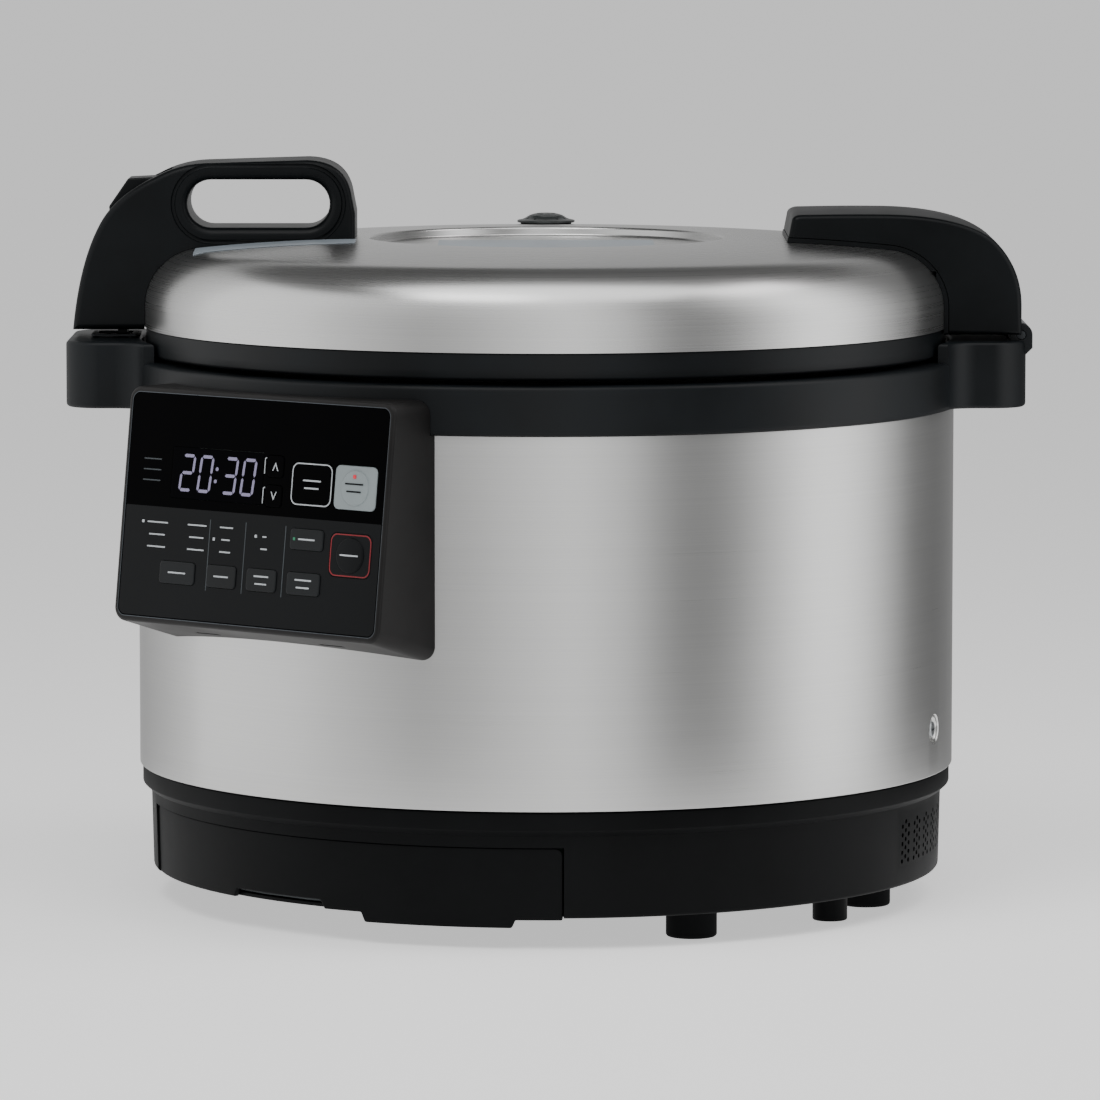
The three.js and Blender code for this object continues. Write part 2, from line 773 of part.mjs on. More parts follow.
function fanBlade(index) {
  const blade = block([10, -1, -7], [fanTip, 1, 7]);
  const lifted = blade.rotate([38, 0, 0]).translate([0, 0, fanBottom + fanHeight / 2 + 2.5]);
  return lifted.rotate([0, 0, (360 / 7) * index]);
}

const fanHubBody = drum(fanHub, fanBottom + 5, fanBottom + fanHeight - 2, 14);
const blades = Array.from({ length: 7 }, (_, i) => fanBlade(i));
piece("fan_frame", fanFrame().translate(fanPlace), blackPlastic);
piece("fan_rotor", joined([fanHubBody, ...blades]).translate(fanPlace), blackPlastic);

const boardLevel = floorTop + 10;
const boardThickness = 1.6;

function mainBoard() {
  const top = boardLevel + boardThickness;
  const plate = block([-70, 10, boardLevel], [90, 120, top]);
  const capacitors = [0, 1, 2].map((i) => drum(9, top - 0.5, top + 22, 12, -50, 40 + 25 * i));
  const transformer = block([-10, 80, top - 0.5], [25, 110, top + 24]);
  const relay = block([45, 80, top - 0.5], [65, 95, top + 15]);
  return joined([plate, ...capacitors, transformer, relay]);
}

piece("main_board", mainBoard(), boardGreen);

function heatSink() {
  const bottom = boardLevel + boardThickness + clearance;
  const [left, right, front, back] = [-20, 60, 20, 64];
  const finCount = 9;
  const finWidth = 2.4;
  const finPitch = (right - left - finWidth) / (finCount - 1);
  const foot = block([left, front, bottom], [right, back, bottom + 4]);
  const fins = Array.from({ length: finCount }, (_, i) => {
    const x = left + finPitch * i;
    return block([x, front, bottom + 3], [x + finWidth, back, bottom + 24]);
  });
  return joined([foot, ...fins]);
}

piece("heat_sink", heatSink(), aluminium);

// ---------------------------------------------------------------------------------------------
// Lid: dome, ring, liner, inner lid and steam vent
// ---------------------------------------------------------------------------------------------

const shoulderCentre = [domeRadius - shoulderRadius, domeBottom + domeSide];
const shoulderFrom = 83;

/** The dome's outline from the recess's rim to its lower edge, moved outwards by an offset. */
function domeOutline(offset) {
  const [startRadius, startHeight] = arcPoints(shoulderCentre, shoulderRadius, shoulderFrom, 0, 1)[0];
  const drop = crownTop - startHeight;
  const crownSteps = 3;
  const crown = Array.from({ length: crownSteps }, (_, i) => {
    const share = i / crownSteps;
    return [recessRadius + (startRadius - recessRadius) * share, crownTop - drop * share ** 2 + offset];
  });
  const shoulder = arcPoints(shoulderCentre, shoulderRadius + offset, shoulderFrom, 0, 4);
  return [...crown, ...shoulder, [domeRadius + offset, domeBottom]];
}

/** Everything under the dome's outer face, moved outwards by an offset. */
function underDome(offset) {
  const low = domeBottom - 60;
  return turned([
    [0, low],
    [0, crownTop + offset],
    ...domeOutline(offset),
    [domeRadius + offset, low],
  ]);
}

/** The level of the dome's crown at a distance from the axis. */
function crownLevel(distance) {
  const [startRadius, startHeight] = arcPoints(shoulderCentre, shoulderRadius, shoulderFrom, 0, 1)[0];
  const share = (distance - recessRadius) / (startRadius - recessRadius);
  return crownTop - (crownTop - startHeight) * share ** 2;
}

const ventTubeRadius = 11;
const ventSeatRadius = ventRadius - 1.8;
const ventReach = potRadius - ventInset; // the vent stands behind the recess

/** An upright cylinder round the vent's own axis. */
function ventDrum(radius, low, high) {
  return drum(radius, low, high, smallSteps, 0, ventReach);
}

/** A closed [radius, height] outline turned about the vent's own axis. */
function ventTurned(outline) {
  return turned(outline, smallSteps).translate([0, ventReach, 0]);
}

const domeBody = turned([
  [0, recessFloor],
  [recessRadius - recessEdge - 3, recessFloor],
  [recessRadius - recessEdge, recessFloor + 2],
  [recessRadius - recessEdge + 0.5, crownTop - 2],
  ...domeOutline(0),
  [domeRadius - domeWall, domeBottom],
  ...domeOutline(-domeWall).slice(0, -1).reverse().slice(0, -1),
  [recessRadius - recessEdge + 2.5, crownTop - domeWall - 0.5],
  [recessRadius - recessEdge + domeWall, recessFloor + 1],
  [recessRadius - recessEdge - 2, recessFloor - domeWall],
  [0, recessFloor - domeWall],
]);
const domeHole = ventDrum(ventSeatRadius + clearance, domeBottom, crownTop + 1);
piece("lid_dome", cut(domeBody, [domeHole]), brushedSteel);

const lidRingTop = lidBottom + lidRingHeight;
const lidFlange = deckOuterRadius + 4;
piece(
  "lid_ring",
  turned([
    [lidFlange, lidBottom],
    [lidRadius - 1, lidBottom],
    [lidRadius, lidBottom + 1],
    [lidRadius, lidRingTop],
    [lidRadius - lidWall, lidRingTop],
    [lidRadius - lidWall, lidBottom + 2.5],
    [lidFlange, lidBottom + 2.5],
  ]),
  blackPlastic,
);

const linerBottom = lidBottom + 2.8;
const linerTop = linerBottom + 8;
const ventBore = 9;
const linerBody = turned([
  [0, linerTop],
  [deckOuterRadius, linerTop],
  [lidRadius - lidWall - 4, linerBottom + 2.5],
  [lidRadius - lidWall - 4, linerBottom],
  [lidFlange - 0.4, linerBottom],
  [lidFlange - 0.4, lidBottom],
  [potFlangeRadius + 4, lidBottom],
  [potFlangeRadius - 0.5, linerBottom + 2.5],
  [potFlangeRadius - 0.5, linerTop - 2.5],
  [0, linerTop - 2.5],
]);
const linerHole = ventDrum(ventTubeRadius + 1, linerBottom, linerTop + 1);
piece("lid_liner", cut(linerBody, [linerHole]), heatProofPlastic);

const innerLidLevel = lidBottom + 0.5;
const gasketOuter = potFlangeRadius - 2;
const gasketInner = gasketOuter - 10;
const innerLidBody = turned(
  [
    [0, innerLidLevel + 1],
    [gasketInner - 5, innerLidLevel + 1],
    [gasketInner - 2, innerLidLevel + 3.2],
    [gasketOuter - 3, innerLidLevel + 3.2],
    [gasketOuter - 3, innerLidLevel + 2.2],
    [gasketInner - 1.5, innerLidLevel + 2.2],
    [gasketInner - 4.5, innerLidLevel],
    [0, innerLidLevel],
  ],
  innerSteps,
);
const innerLidHole = ventDrum(ventBore, innerLidLevel - 1, innerLidLevel + 2);
piece("inner_lid", cut(innerLidBody, [innerLidHole]), aluminium);
piece(
  "lid_gasket",
  turned(
    [
      [gasketInner, innerLidLevel + 1.9],
      [gasketOuter, innerLidLevel + 1.9],
      [gasketOuter, innerLidLevel - 1.2],
      [gasketOuter - 3, potTop + 0.5],
      [gasketOuter - 5, potTop + 0.5],
      [gasketInner, innerLidLevel - 0.2],
    ],
    innerSteps,
  ),
  silicone,
);

const seatTop = crownLevel(ventReach - ventRadius);
piece(
  "vent_seat",
  ventTurned([
    [ventBore, innerLidLevel + 1.5],
    [ventTubeRadius, innerLidLevel + 1.5],
    [ventTubeRadius, linerTop + 1],
    [ventSeatRadius, linerTop + 1 + ventSeatRadius - ventTubeRadius],
    [ventSeatRadius, seatTop],
    [ventBore, seatTop],
  ]),
  blackPlastic,
);

const capBottom = seatTop + clearance;
const capTop = capBottom + capHeight;
const plugRadius = ventBore - 1;
function ventCap() {
  const body = ventTurned([
    [0, capBottom - 9],
    [plugRadius, capBottom - 9],
    [plugRadius, capBottom],
    [ventRadius, capBottom],
    [ventRadius, capBottom + 1],
    [ventRadius - 2, capBottom + 1.9],
    [ventRadius - 6.5, capTop - 0.8],
    [ventRadius - 9.5, capTop],
    [0, capTop],
  ]);
  const slit = block([-16, -0.8, capTop - 3.4], [16, 0.8, capTop - 2.2]);
  const slits = [0, 60, 120].map((angle) => slit.rotate([0, 0, angle]).translate([0, ventReach, 0]));
  return cut(body, slits);
}
piece("vent_cap", ventCap(), blackPlastic);

// ---------------------------------------------------------------------------------------------
// Handle with its latch
// ---------------------------------------------------------------------------------------------

const handleTop = domeBottom + handleRise;
const handleBottom = domeBottom + 0.5;

/** The handle seen from the front, drawn outwards from the pot's axis along -X. */
function handleShape() {
  const shape = new THREE.Shape();
  shape.moveTo(-handleEnd, handleBottom);
  shape.quadraticCurveTo(3.5 - handleEnd, handleTop - 53, 14.6 - handleEnd, handleTop - 33);
  shape.quadraticCurveTo(23 - handleEnd, handleTop - 18, 44 - handleEnd, handleTop - 8.5);
  shape.quadraticCurveTo(56 - handleEnd, handleTop - 2, 70 - handleEnd, handleTop - 1.6);
  shape.lineTo(-handleFoot - 25, handleTop);
  shape.quadraticCurveTo(-handleFoot - 6, handleTop - 0.5, -handleFoot - 2.3, handleTop - 16);
  shape.lineTo(-handleFoot, handleTop - 28);
  shape.lineTo(-handleFoot, domeBottom + 30);
  shape.lineTo(10 - domeRadius, domeBottom + 30);
  shape.lineTo(10 - domeRadius, handleBottom);
  return shape;
}

/** The slot with round ends that fingers go through. */
function loopShape() {
  const radius = loopHeight / 2;
  const half = loopLength / 2 - radius;
  const level = domeBottom + loopRise;
  const shape = new THREE.Shape();
  shape.absarc(-loopCentre + half, level, radius, -Math.PI / 2, Math.PI / 2);
  shape.absarc(-loopCentre - half, level, radius, Math.PI / 2, 1.5 * Math.PI);
  return shape;
}

/** The space that the latch lever moves in, open below and at the handle's upper end. */
function latchSpace() {
  const low = handleBottom - 5;
  const corners = [
    [-handleEnd + 6, low],
    [-latchReach + 7.5, low],
    [-latchReach + 9, latchLevel + 12],
    [-latchReach + 26, latchLevel + 26],
    [-latchReach + 26, handleTop + 5],
    [-latchReach - 20, handleTop + 5],
    [-latchReach - 9.5, latchLevel + 19],
    [-handleEnd + 11, latchLevel],
  ];
  return spread(polygon(corners), latchWidth + 1.2);
}

function latchBore(extra) {
  const reach = handleDepth / 2 - 4;
  return rod(latchPinRadius + extra, -latchReach, latchLevel, -reach, reach);
}

const handleBody = spread(handleShape(), handleDepth, 2);
const loopBody = spread(loopShape(), handleDepth + 10, 0, 8);
piece(
  "handle",
  cut(handleBody, [underDome(clearance), loopBody, latchSpace(), latchBore(runningClearance)]),
  blackPlastic,
);

/** The lever seen from the front: a thumb pad, a round pivot boss and a hook that points down. */
function latchShape() {
  const shape = new THREE.Shape();
  shape.moveTo(-latchReach - 6.9, latchLevel + 25.6);
  shape.lineTo(-latchReach + 3.2, latchLevel + 40.2);
  shape.lineTo(-latchReach + 17.8, latchLevel + 40.9);
  shape.lineTo(-latchReach + 18.6, latchLevel + 33);
  shape.lineTo(-latchReach + 5, latchLevel + 21);
  shape.lineTo(-latchReach + 4, latchLevel + 6);
  shape.absarc(-latchReach, latchLevel, 6.5, Math.PI / 3, -Math.PI / 3, true);
  shape.lineTo(-latchReach + 2, latchLevel - 12);
  shape.lineTo(-latchReach + 2, strikeBase - 5);
  shape.lineTo(-latchReach - 2.5, strikeBase - 5);
  shape.lineTo(-latchReach - 4, latchLevel - 12);
  shape.absarc(-latchReach, latchLevel, 6.5, -2 * (Math.PI / 3), 2 * (Math.PI / 3), true);
  return shape;
}

function latchLever() {
  const whole = spread(latchShape(), latchWidth);
  const side = (sign) => {
    const near = sign * hookHalfWidth;
    const far = sign * latchWidth;
    const low = [-latchReach - 20, Math.min(near, far), strikeBase - 10];
    const high = [-latchReach + 20, Math.max(near, far), handleBottom];
    return block(low, high);
  };
  return cut(whole, [side(-1), side(1), latchBore(runningClearance)]);
}

piece("latch_lever", latchLever(), blackPlastic);
const latchPinEnd = handleDepth / 2 - 4 - clearance;
const latchPin = rod(latchPinRadius, -latchReach, latchLevel, -latchPinEnd, latchPinEnd);
piece("latch_pin", latchPin, zincSteel);

// ---------------------------------------------------------------------------------------------
// Hinge arm
// ---------------------------------------------------------------------------------------------

const armTop = domeBottom + armRise;
const armBottom = hingeLevel + 0.3;

/** The arm seen from the front: flat on top, then rounded down to the hinge. */
function armShape() {
  const shape = new THREE.Shape();
  shape.moveTo(armTip, domeBottom + 30);
  shape.lineTo(armTip, armTop - 2);
  shape.quadraticCurveTo(armTip + 30, armTop, armTip + 52, armTop - 0.2);
  shape.quadraticCurveTo(armEnd - 30, armTop - 1, armEnd - 14, armTop - 16);
  shape.quadraticCurveTo(armEnd, armTop - 30, armEnd, armTop - 50);
  shape.lineTo(armEnd, armBottom);
  shape.lineTo(domeRadius - 8, armBottom);
  shape.lineTo(domeRadius - 8, domeBottom + 30);
  return shape;
}

/** The hollow that holds the hinge bracket, open below. */
function armHollow() {
  const corners = [
    [domeRadius + trimThickness + 3, armBottom - 5],
    [armEnd - 3, armBottom - 5],
    [armEnd - 3, armTop - 48],
    [armEnd - 9, armTop - 30],
    [armEnd - 22, armTop - 17],
    [domeRadius + trimThickness + 3, armTop - 10],
  ];
  return spread(polygon(corners), armDepth - 8);
}

const knuckleSpace = rod(knuckleRadius + 0.9, hingeReach, hingeLevel, -pinEnd - 0.8, pinEnd + 0.8);
const trimOffset = clearance + trimThickness;
const armBody = spread(armShape(), armDepth, 3);
piece(
  "hinge_arm",
  cut(armBody, [underDome(trimOffset + clearance), armHollow(), knuckleSpace]),
  blackPlastic,
);

const trimBody = spread(armShape(), armDepth).intersect(underDome(trimOffset));
piece("hinge_trim", trimBody.subtract(underDome(clearance)), warmBlackPlastic);

function hingeBracket() {
  const plateTop = armTop - bracketDrop;
  const web = block(
    [hingeReach - knuckleRadius, -barrelHalfLength, hingeLevel],
    [armEnd - 4.5, barrelHalfLength, plateTop],
  );
  const foot = block(
    [domeRadius + trimThickness + 4, -barrelHalfLength, plateTop - 2.5],
    [armEnd - 4.5, barrelHalfLength, plateTop],
  );
  const barrel = rod(knuckleRadius, hingeReach, hingeLevel, -barrelHalfLength, barrelHalfLength);
  const bore = rod(
    hingePinRadius + runningClearance,
    hingeReach,
    hingeLevel,
    -barrelHalfLength - 1,
    barrelHalfLength + 1,
  );
  return joined([web, foot, barrel]).subtract(bore);
}

piece("hinge_bracket", hingeBracket(), zincSteel);
piece("hinge_pin", rod(hingePinRadius, hingeReach, hingeLevel, -pinEnd + 0.2, pinEnd - 0.2), polishedSteel);

// ---------------------------------------------------------------------------------------------
// Control panel, in its own frame: x to the right, y up the face, z out of it
// ---------------------------------------------------------------------------------------------

const faceWidth =
  faceLeftMargin +
  displayWidth +
  displayKeyGap +
  hourKeySize +
  hourKeyGap +
  2 * largeKeyWidth +
  keyColumnGap +
  faceRightMargin;
const faceHeight =
  faceBottomMargin +
  smallKeyHeight +
  timerKeyHeight +
  largeKeyHeight +
  2 * keyRowGap +
  faceTopMargin;
const panelWidth = faceWidth + 2 * panelBorder;
const panelHeight = faceHeight + 2 * panelBorder;
const panelReach = skinRadius + panelStandOff;
const panelMid = ringTop - panelDrop - panelHeight / 2;

const panel = new THREE.Group();
const panelRight = new THREE.Vector3(...around(panelAzimuth + 90, 1), 0);
const tilt = radians(panelTilt);
const outward = new THREE.Vector3(...around(panelAzimuth, Math.cos(tilt)), Math.sin(tilt));
const panelUp = new THREE.Vector3().crossVectors(outward, panelRight);
const panelFrame = new THREE.Matrix4().makeBasis(panelRight, panelUp, outward);
const panelPlace = new THREE.Vector3(...around(panelAzimuth, panelReach), panelMid);
panelFrame.setPosition(panelPlace);
panelFrame.decompose(panel.position, panel.quaternion, panel.scale);
cooker.add(panel);

const intoPanel = panelFrame.clone().invert();

/** A cylinder about the pot's axis, as the panel's frame sees it. */
function potAxisDrum(radius, low, high) {
  const geometry = new THREE.CylinderGeometry(radius, radius, high - low, roundSteps);
  geometry.rotateX(Math.PI / 2);
  geometry.translate(0, 0, (low + high) / 2);
  geometry.applyMatrix4(intoPanel);
  return solid(geometry);
}

/** The housing's side outline, drawn as x = height up the face and y = depth, smaller by an inset. */
function housingSide(inset) {
  const half = panelHeight / 2 - inset;
  const depth = 70;
  const front = -inset;
  const skinDepth = 38;
  const rise = depth * Math.tan(tilt);
  const drop = (housingDrop * depth) / skinDepth - rise;
  return polygon([
    [-half, front],
    [half, front],
    [half + rise, -depth],
    [-half - drop, -depth],
  ]);
}

/** Turns a side outline into a solid that spans the panel's width. */
function across(shape, width, edge = 0) {
  const options = {
    depth: width - 2 * edge,
    bevelEnabled: edge > 0,
    bevelThickness: edge,
    bevelSize: edge,
    bevelOffset: -edge,
    bevelSegments: 2,
    curveSegments: cornerSteps,
  };
  const geometry = new THREE.ExtrudeGeometry(shape, options);
  geometry.translate(0, 0, edge - width / 2);
  geometry.applyMatrix4(
    new THREE.Matrix4().makeBasis(
      new THREE.Vector3(0, 1, 0),
      new THREE.Vector3(0, 0, 1),
      new THREE.Vector3(1, 0, 0),
    ),
  );
  return solid(geometry);
}

function panelHousing() {
  const outside = across(housingSide(0), panelWidth, 2.5);
  const inside = across(housingSide(panelLedge + 1), panelWidth - 2 * housingWall - 2 * panelLedge);
  const windowWidth = faceWidth - 2 * panelLedge;
  const windowHeight = faceHeight - 2 * panelLedge;
  const window = raised(roundedRectangle(windowWidth, windowHeight, 3), -20, 5);
  const seatWidth = faceWidth + 2 * clearance;
  const seatHeight = faceHeight + 2 * clearance;
  const seat = raised(roundedRectangle(seatWidth, seatHeight, 4), -facePlate - 2 * clearance, 5);
  const skinSpace = potAxisDrum(skinRadius + clearance, -50, ringTop + 80);
  const ringSpace = potAxisDrum(ringRadius + clearance, ringBottom - clearance, ringTop + 80);
  return cut(outside, [inside, window, seat, skinSpace, ringSpace]);
}

piece("panel_housing", panelHousing(), warmBlackPlastic, panel);

// columns from the face's left edge, rows from its bottom edge
const displayX = faceLeftMargin + (displayWidth - faceWidth) / 2;
const hourX = displayX + (displayWidth + hourKeySize) / 2 + displayKeyGap;
const startX = faceWidth / 2 - faceRightMargin - largeKeyWidth / 2;
const quickX = startX - largeKeyWidth - keyColumnGap;
const smallY = faceBottomMargin + (smallKeyHeight - faceHeight) / 2;
const timerY = smallY + (smallKeyHeight + timerKeyHeight) / 2 + keyRowGap;
const largeY = timerY + (timerKeyHeight + largeKeyHeight) / 2 + keyRowGap;
const cancelY = timerY - 6.1;
const displayY = largeY + 1;
const hourY = displayY - 0.75;
const hourPitch = hourKeySize + 3.9;

const small = { height: smallKeyHeight, material: panelGrey };
const large = { width: largeKeyWidth, height: largeKeyHeight, corner: 4 };
const hour = { width: hourKeySize, height: hourKeySize, material: panelGrey };
const buttons = [
  { name: "menu", x: quickX - 85.9, y: smallY, width: 23.9, ...small },
  { name: "hardness", x: quickX - 55.8, y: smallY, width: 19.8, ...small },
  { name: "soak", x: quickX - 28.7, y: smallY, width: 20, ...small },
  { name: "keep_warm", x: quickX - 0.6, y: smallY, width: 22, ...small },
  { name: "timer", x: quickX - 0.3, y: timerY, width: 22, ...small, height: timerKeyHeight },
  { name: "cancel", x: startX, y: cancelY, ...large, material: redPlastic, dome: 8.5 },
  { name: "quick", x: quickX, y: largeY, ...large, material: panelGrey },
  { name: "start", x: startX, y: largeY, ...large, material: silverPlastic, dome: 8.5 },
  { name: "hour_up", x: hourX, y: hourY + hourPitch / 2, ...hour },
  { name: "hour_down", x: hourX, y: hourY - hourPitch / 2, ...hour },
];
const buttonBack = -facePlate - 2;
const buttonFront = 0.5;

function buttonHole({ x, y, width, height, corner = 2 }) {
  const shape = roundedRectangle(width + 2 * buttonGap, height + 2 * buttonGap, corner + buttonGap, x, y);
  return raised(shape, -facePlate - 2, 2, 2);
}

function buttonCap({ x, y, width, height, corner = 2, dome }) {
  const cap = raised(roundedRectangle(width, height, corner, x, y), buttonBack, buttonFront, 2);
  if (!dome) return cap;
  const raisedDome = turned(
    [
      [0, buttonFront - 1],
      [dome, buttonFront - 1],
      [dome, buttonFront + 0.6],
      [dome - 1.5, buttonFront + 1.2],
      [0, buttonFront + 1.5],
    ],
    16,
  );
  return cap.add(raisedDome.translate([x, y, 0]));
}

const faceBack = -facePlate - clearance;
const holeWidth = displayWidth + 2 * clearance;
const holeHeight = displayHeight + 2 * clearance;
const holeShape = roundedRectangle(holeWidth, holeHeight, 1.5, displayX, displayY);
const displayHole = raised(holeShape, faceBack - 1, 2, 2);
const faceBody = raised(roundedRectangle(faceWidth, faceHeight, 3.6), faceBack, -clearance);
piece("panel_face", cut(faceBody, [displayHole, ...buttons.map(buttonHole)]), glossBlack, panel);

const lensShape = roundedRectangle(displayWidth, displayHeight, 1.2, displayX, displayY);
piece("display", raised(lensShape, faceBack, -clearance, 2), displayGlass, panel);

buttons.forEach((button) => {
  piece(`button_${button.name}`, buttonCap(button), button.material, panel);
});

const controlShape = roundedRectangle(faceWidth - 34, faceHeight - 46, 2);
const controlRoom = 7.5; // from the skin to the board's front
const controlFront = controlRoom - panelStandOff;
const controlBoard = raised(controlShape, controlFront - boardThickness, controlFront, 2);
piece("control_board", controlBoard, boardGreen, panel);

// ---------------------------------------------------------------------------------------------
// The origin is put under the middle of the whole cooker, on the surface it stands on
// ---------------------------------------------------------------------------------------------

const extent = new THREE.Box3().setFromObject(cooker, true);
const middle = extent.getCenter(new THREE.Vector3());
cooker.position.set(-middle.x, -middle.y, -extent.min.z);
cooker.updateMatrixWorld(true);

export default cooker;
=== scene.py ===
"""A large commercial rice cooker: its pieces, its finishes, a studio floor, soft lights and a camera.

Every shape is drawn in millimetres, measured from the foot of the pot's axis, and takes its place from
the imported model. An azimuth is an angle round that axis in degrees, from -Y towards +X. The lid's
handle points along -X and its hinge is at +X.
"""

import json
import logging
import math
from collections.abc import Callable, Iterable, Sequence
from dataclasses import dataclass, field
from enum import Enum

import bmesh
import bpy
from mathutils import Matrix, Vector

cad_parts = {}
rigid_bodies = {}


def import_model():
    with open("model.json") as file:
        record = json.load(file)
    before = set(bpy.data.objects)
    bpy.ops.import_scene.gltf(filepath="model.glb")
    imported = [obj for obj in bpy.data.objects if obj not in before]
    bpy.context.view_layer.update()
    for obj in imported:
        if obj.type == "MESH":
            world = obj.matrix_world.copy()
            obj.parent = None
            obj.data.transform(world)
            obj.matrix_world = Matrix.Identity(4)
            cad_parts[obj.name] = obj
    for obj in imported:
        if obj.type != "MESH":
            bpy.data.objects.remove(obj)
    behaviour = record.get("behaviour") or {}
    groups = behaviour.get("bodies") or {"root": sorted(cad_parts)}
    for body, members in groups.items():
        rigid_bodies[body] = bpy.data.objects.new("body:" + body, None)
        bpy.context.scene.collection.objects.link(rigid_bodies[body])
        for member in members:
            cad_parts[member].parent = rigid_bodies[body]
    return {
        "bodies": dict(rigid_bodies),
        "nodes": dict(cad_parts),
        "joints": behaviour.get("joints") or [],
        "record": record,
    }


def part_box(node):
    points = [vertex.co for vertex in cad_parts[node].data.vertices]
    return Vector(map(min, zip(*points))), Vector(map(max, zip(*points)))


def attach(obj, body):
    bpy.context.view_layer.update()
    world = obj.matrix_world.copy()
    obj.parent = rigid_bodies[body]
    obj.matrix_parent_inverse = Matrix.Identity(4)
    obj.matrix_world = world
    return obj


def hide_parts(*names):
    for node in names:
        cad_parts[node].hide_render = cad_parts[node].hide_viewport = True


LOG = logging.getLogger("rice_cooker")

MM = 0.001
FULL_TURN = 2 * math.pi

Point = tuple[float, float]
Corner = tuple[float, float, float]
Mesh = bmesh.types.BMesh


# Outlines


def rounded(corners: Sequence[Corner], steps: int = 6) -> list[Point]:
    """Rounds the corners of a closed outline.

    Args:
        corners: The outline's corners as (x, y, radius), in order.
        steps: How many straight pieces each round has.

    Returns:
        The outline's points, with each round drawn as an arc.
    """
    points: list[Point] = []
    count = len(corners)
    for index, (x, y, radius) in enumerate(corners):
        here = Vector((x, y))
        before = Vector(corners[index - 1][:2]) - here
        after = Vector(corners[(index + 1) % count][:2]) - here
        half = before.angle(after) / 2
        room = 0.49 * min(before.length, after.length)
        run = min(radius / math.tan(half), room) if half > 1e-4 else 0.0
        if run < 1e-3 or half > math.pi / 2 - 1e-3:
            points.append((x, y))
            continue
        reach = run / math.cos(half)
        centre = here + (before.normalized() + after.normalized()).normalized() * reach
        start = here + before.normalized() * run - centre
        end = here + after.normalized() * run - centre
        sweep = start.angle_signed(end)
        for step in range(steps + 1):
            turned_arm = start.copy()
            turned_arm.rotate(Matrix.Rotation(-sweep * step / steps, 2))
            points.append(tuple(centre + turned_arm))
    return points


def arc(centre: Point, radius: float, start: float, end: float, steps: int = 8) -> list[Point]:
    """The points of an arc, with its angles in degrees."""
    angles = [math.radians(start + (end - start) * i / steps) for i in range(steps + 1)]
    return [(centre[0] + radius * math.cos(a), centre[1] + radius * math.sin(a)) for a in angles]


def curve(start: Point, pull: Point, end: Point, steps: int = 12) -> list[Point]:
    """The points of a quadratic curve after its start, up to its end."""
    shares = [i / steps for i in range(1, steps + 1)]
    return [
        tuple((1 - t) ** 2 * a + 2 * t * (1 - t) * b + t * t * c for a, b, c in zip(start, pull, end))
        for t in shares
    ]


def rectangle(left: float, low: float, right: float, high: float) -> list[Point]:
    """A rectangle between two corners."""
    return [(left, low), (right, low), (right, high), (left, high)]


def box_outline(
    width: float,
    height: float,
    radius: float,
    middle: Point = (0, 0),
    steps: int = 6,
) -> list[Point]:
    """A rectangle with round corners about a middle."""
    x, y = middle
    corners = rectangle(x - width / 2, y - height / 2, x + width / 2, y + height / 2)
    return rounded([(*corner, radius) for corner in corners], steps)


def around(azimuth: float, distance: float) -> Point:
    """The place at an azimuth and a distance from the pot's axis."""
    angle = math.radians(azimuth)
    return distance * math.sin(angle), -distance * math.cos(angle)


# Shapes


def chain(shape: Mesh, points: Iterable[Sequence[float]], closed: bool) -> list[bmesh.types.BMEdge]:
    """Adds a line of edges through points, and returns the edges."""
    verts = [shape.verts.new(point) for point in points]
    pairs = list(zip(verts, verts[1:]))
    if closed:
        pairs.append((verts[-1], verts[0]))
    return [shape.edges.new(pair) for pair in pairs]


def turned(outline: Sequence[Point], steps: int = 144, closed: bool = True) -> Mesh:
    """Spins a (radius, height) outline a full turn about the Z axis.

    Args:
        outline: The outline. A closed one is a ring's section; an open one starts and ends on the axis.
        steps: How many facets the turn has.
        closed: Whether the outline joins its own start.

    Returns:
        The closed shape.
    """
    shape = bmesh.new()
    edges = chain(shape, [(r, 0, z) for r, z in outline], closed)
    bmesh.ops.spin(
        shape,
        geom=list(shape.verts) + edges,
        axis=(0, 0, 1),
        angle=FULL_TURN,
        steps=steps,
        use_merge=True,
    )
    bmesh.ops.remove_doubles(shape, verts=shape.verts, dist=1e-4)
    bmesh.ops.dissolve_degenerate(shape, edges=shape.edges, dist=1e-5)
    bmesh.ops.recalc_face_normals(shape, faces=shape.faces)
    return shape


def swept(outline: Sequence[Point], start: float, end: float, steps: int = 48) -> Mesh:
    """Spins a closed (radius, height) outline from one azimuth to another, with both ends capped."""
    shape = bmesh.new()
    verts = [shape.verts.new((r, 0, z)) for r, z in outline]
    face = shape.faces.new(verts)
    bmesh.ops.spin(
        shape,
        geom=[face, *face.edges, *verts],
        axis=(0, 0, 1),
        angle=math.radians(end - start),
        steps=steps,
    )
    bmesh.ops.remove_doubles(shape, verts=shape.verts, dist=1e-4)
    bmesh.ops.recalc_face_normals(shape, faces=shape.faces)
    bmesh.ops.rotate(shape, verts=shape.verts, matrix=Matrix.Rotation(math.radians(start - 90), 3, "Z"))
    return shape


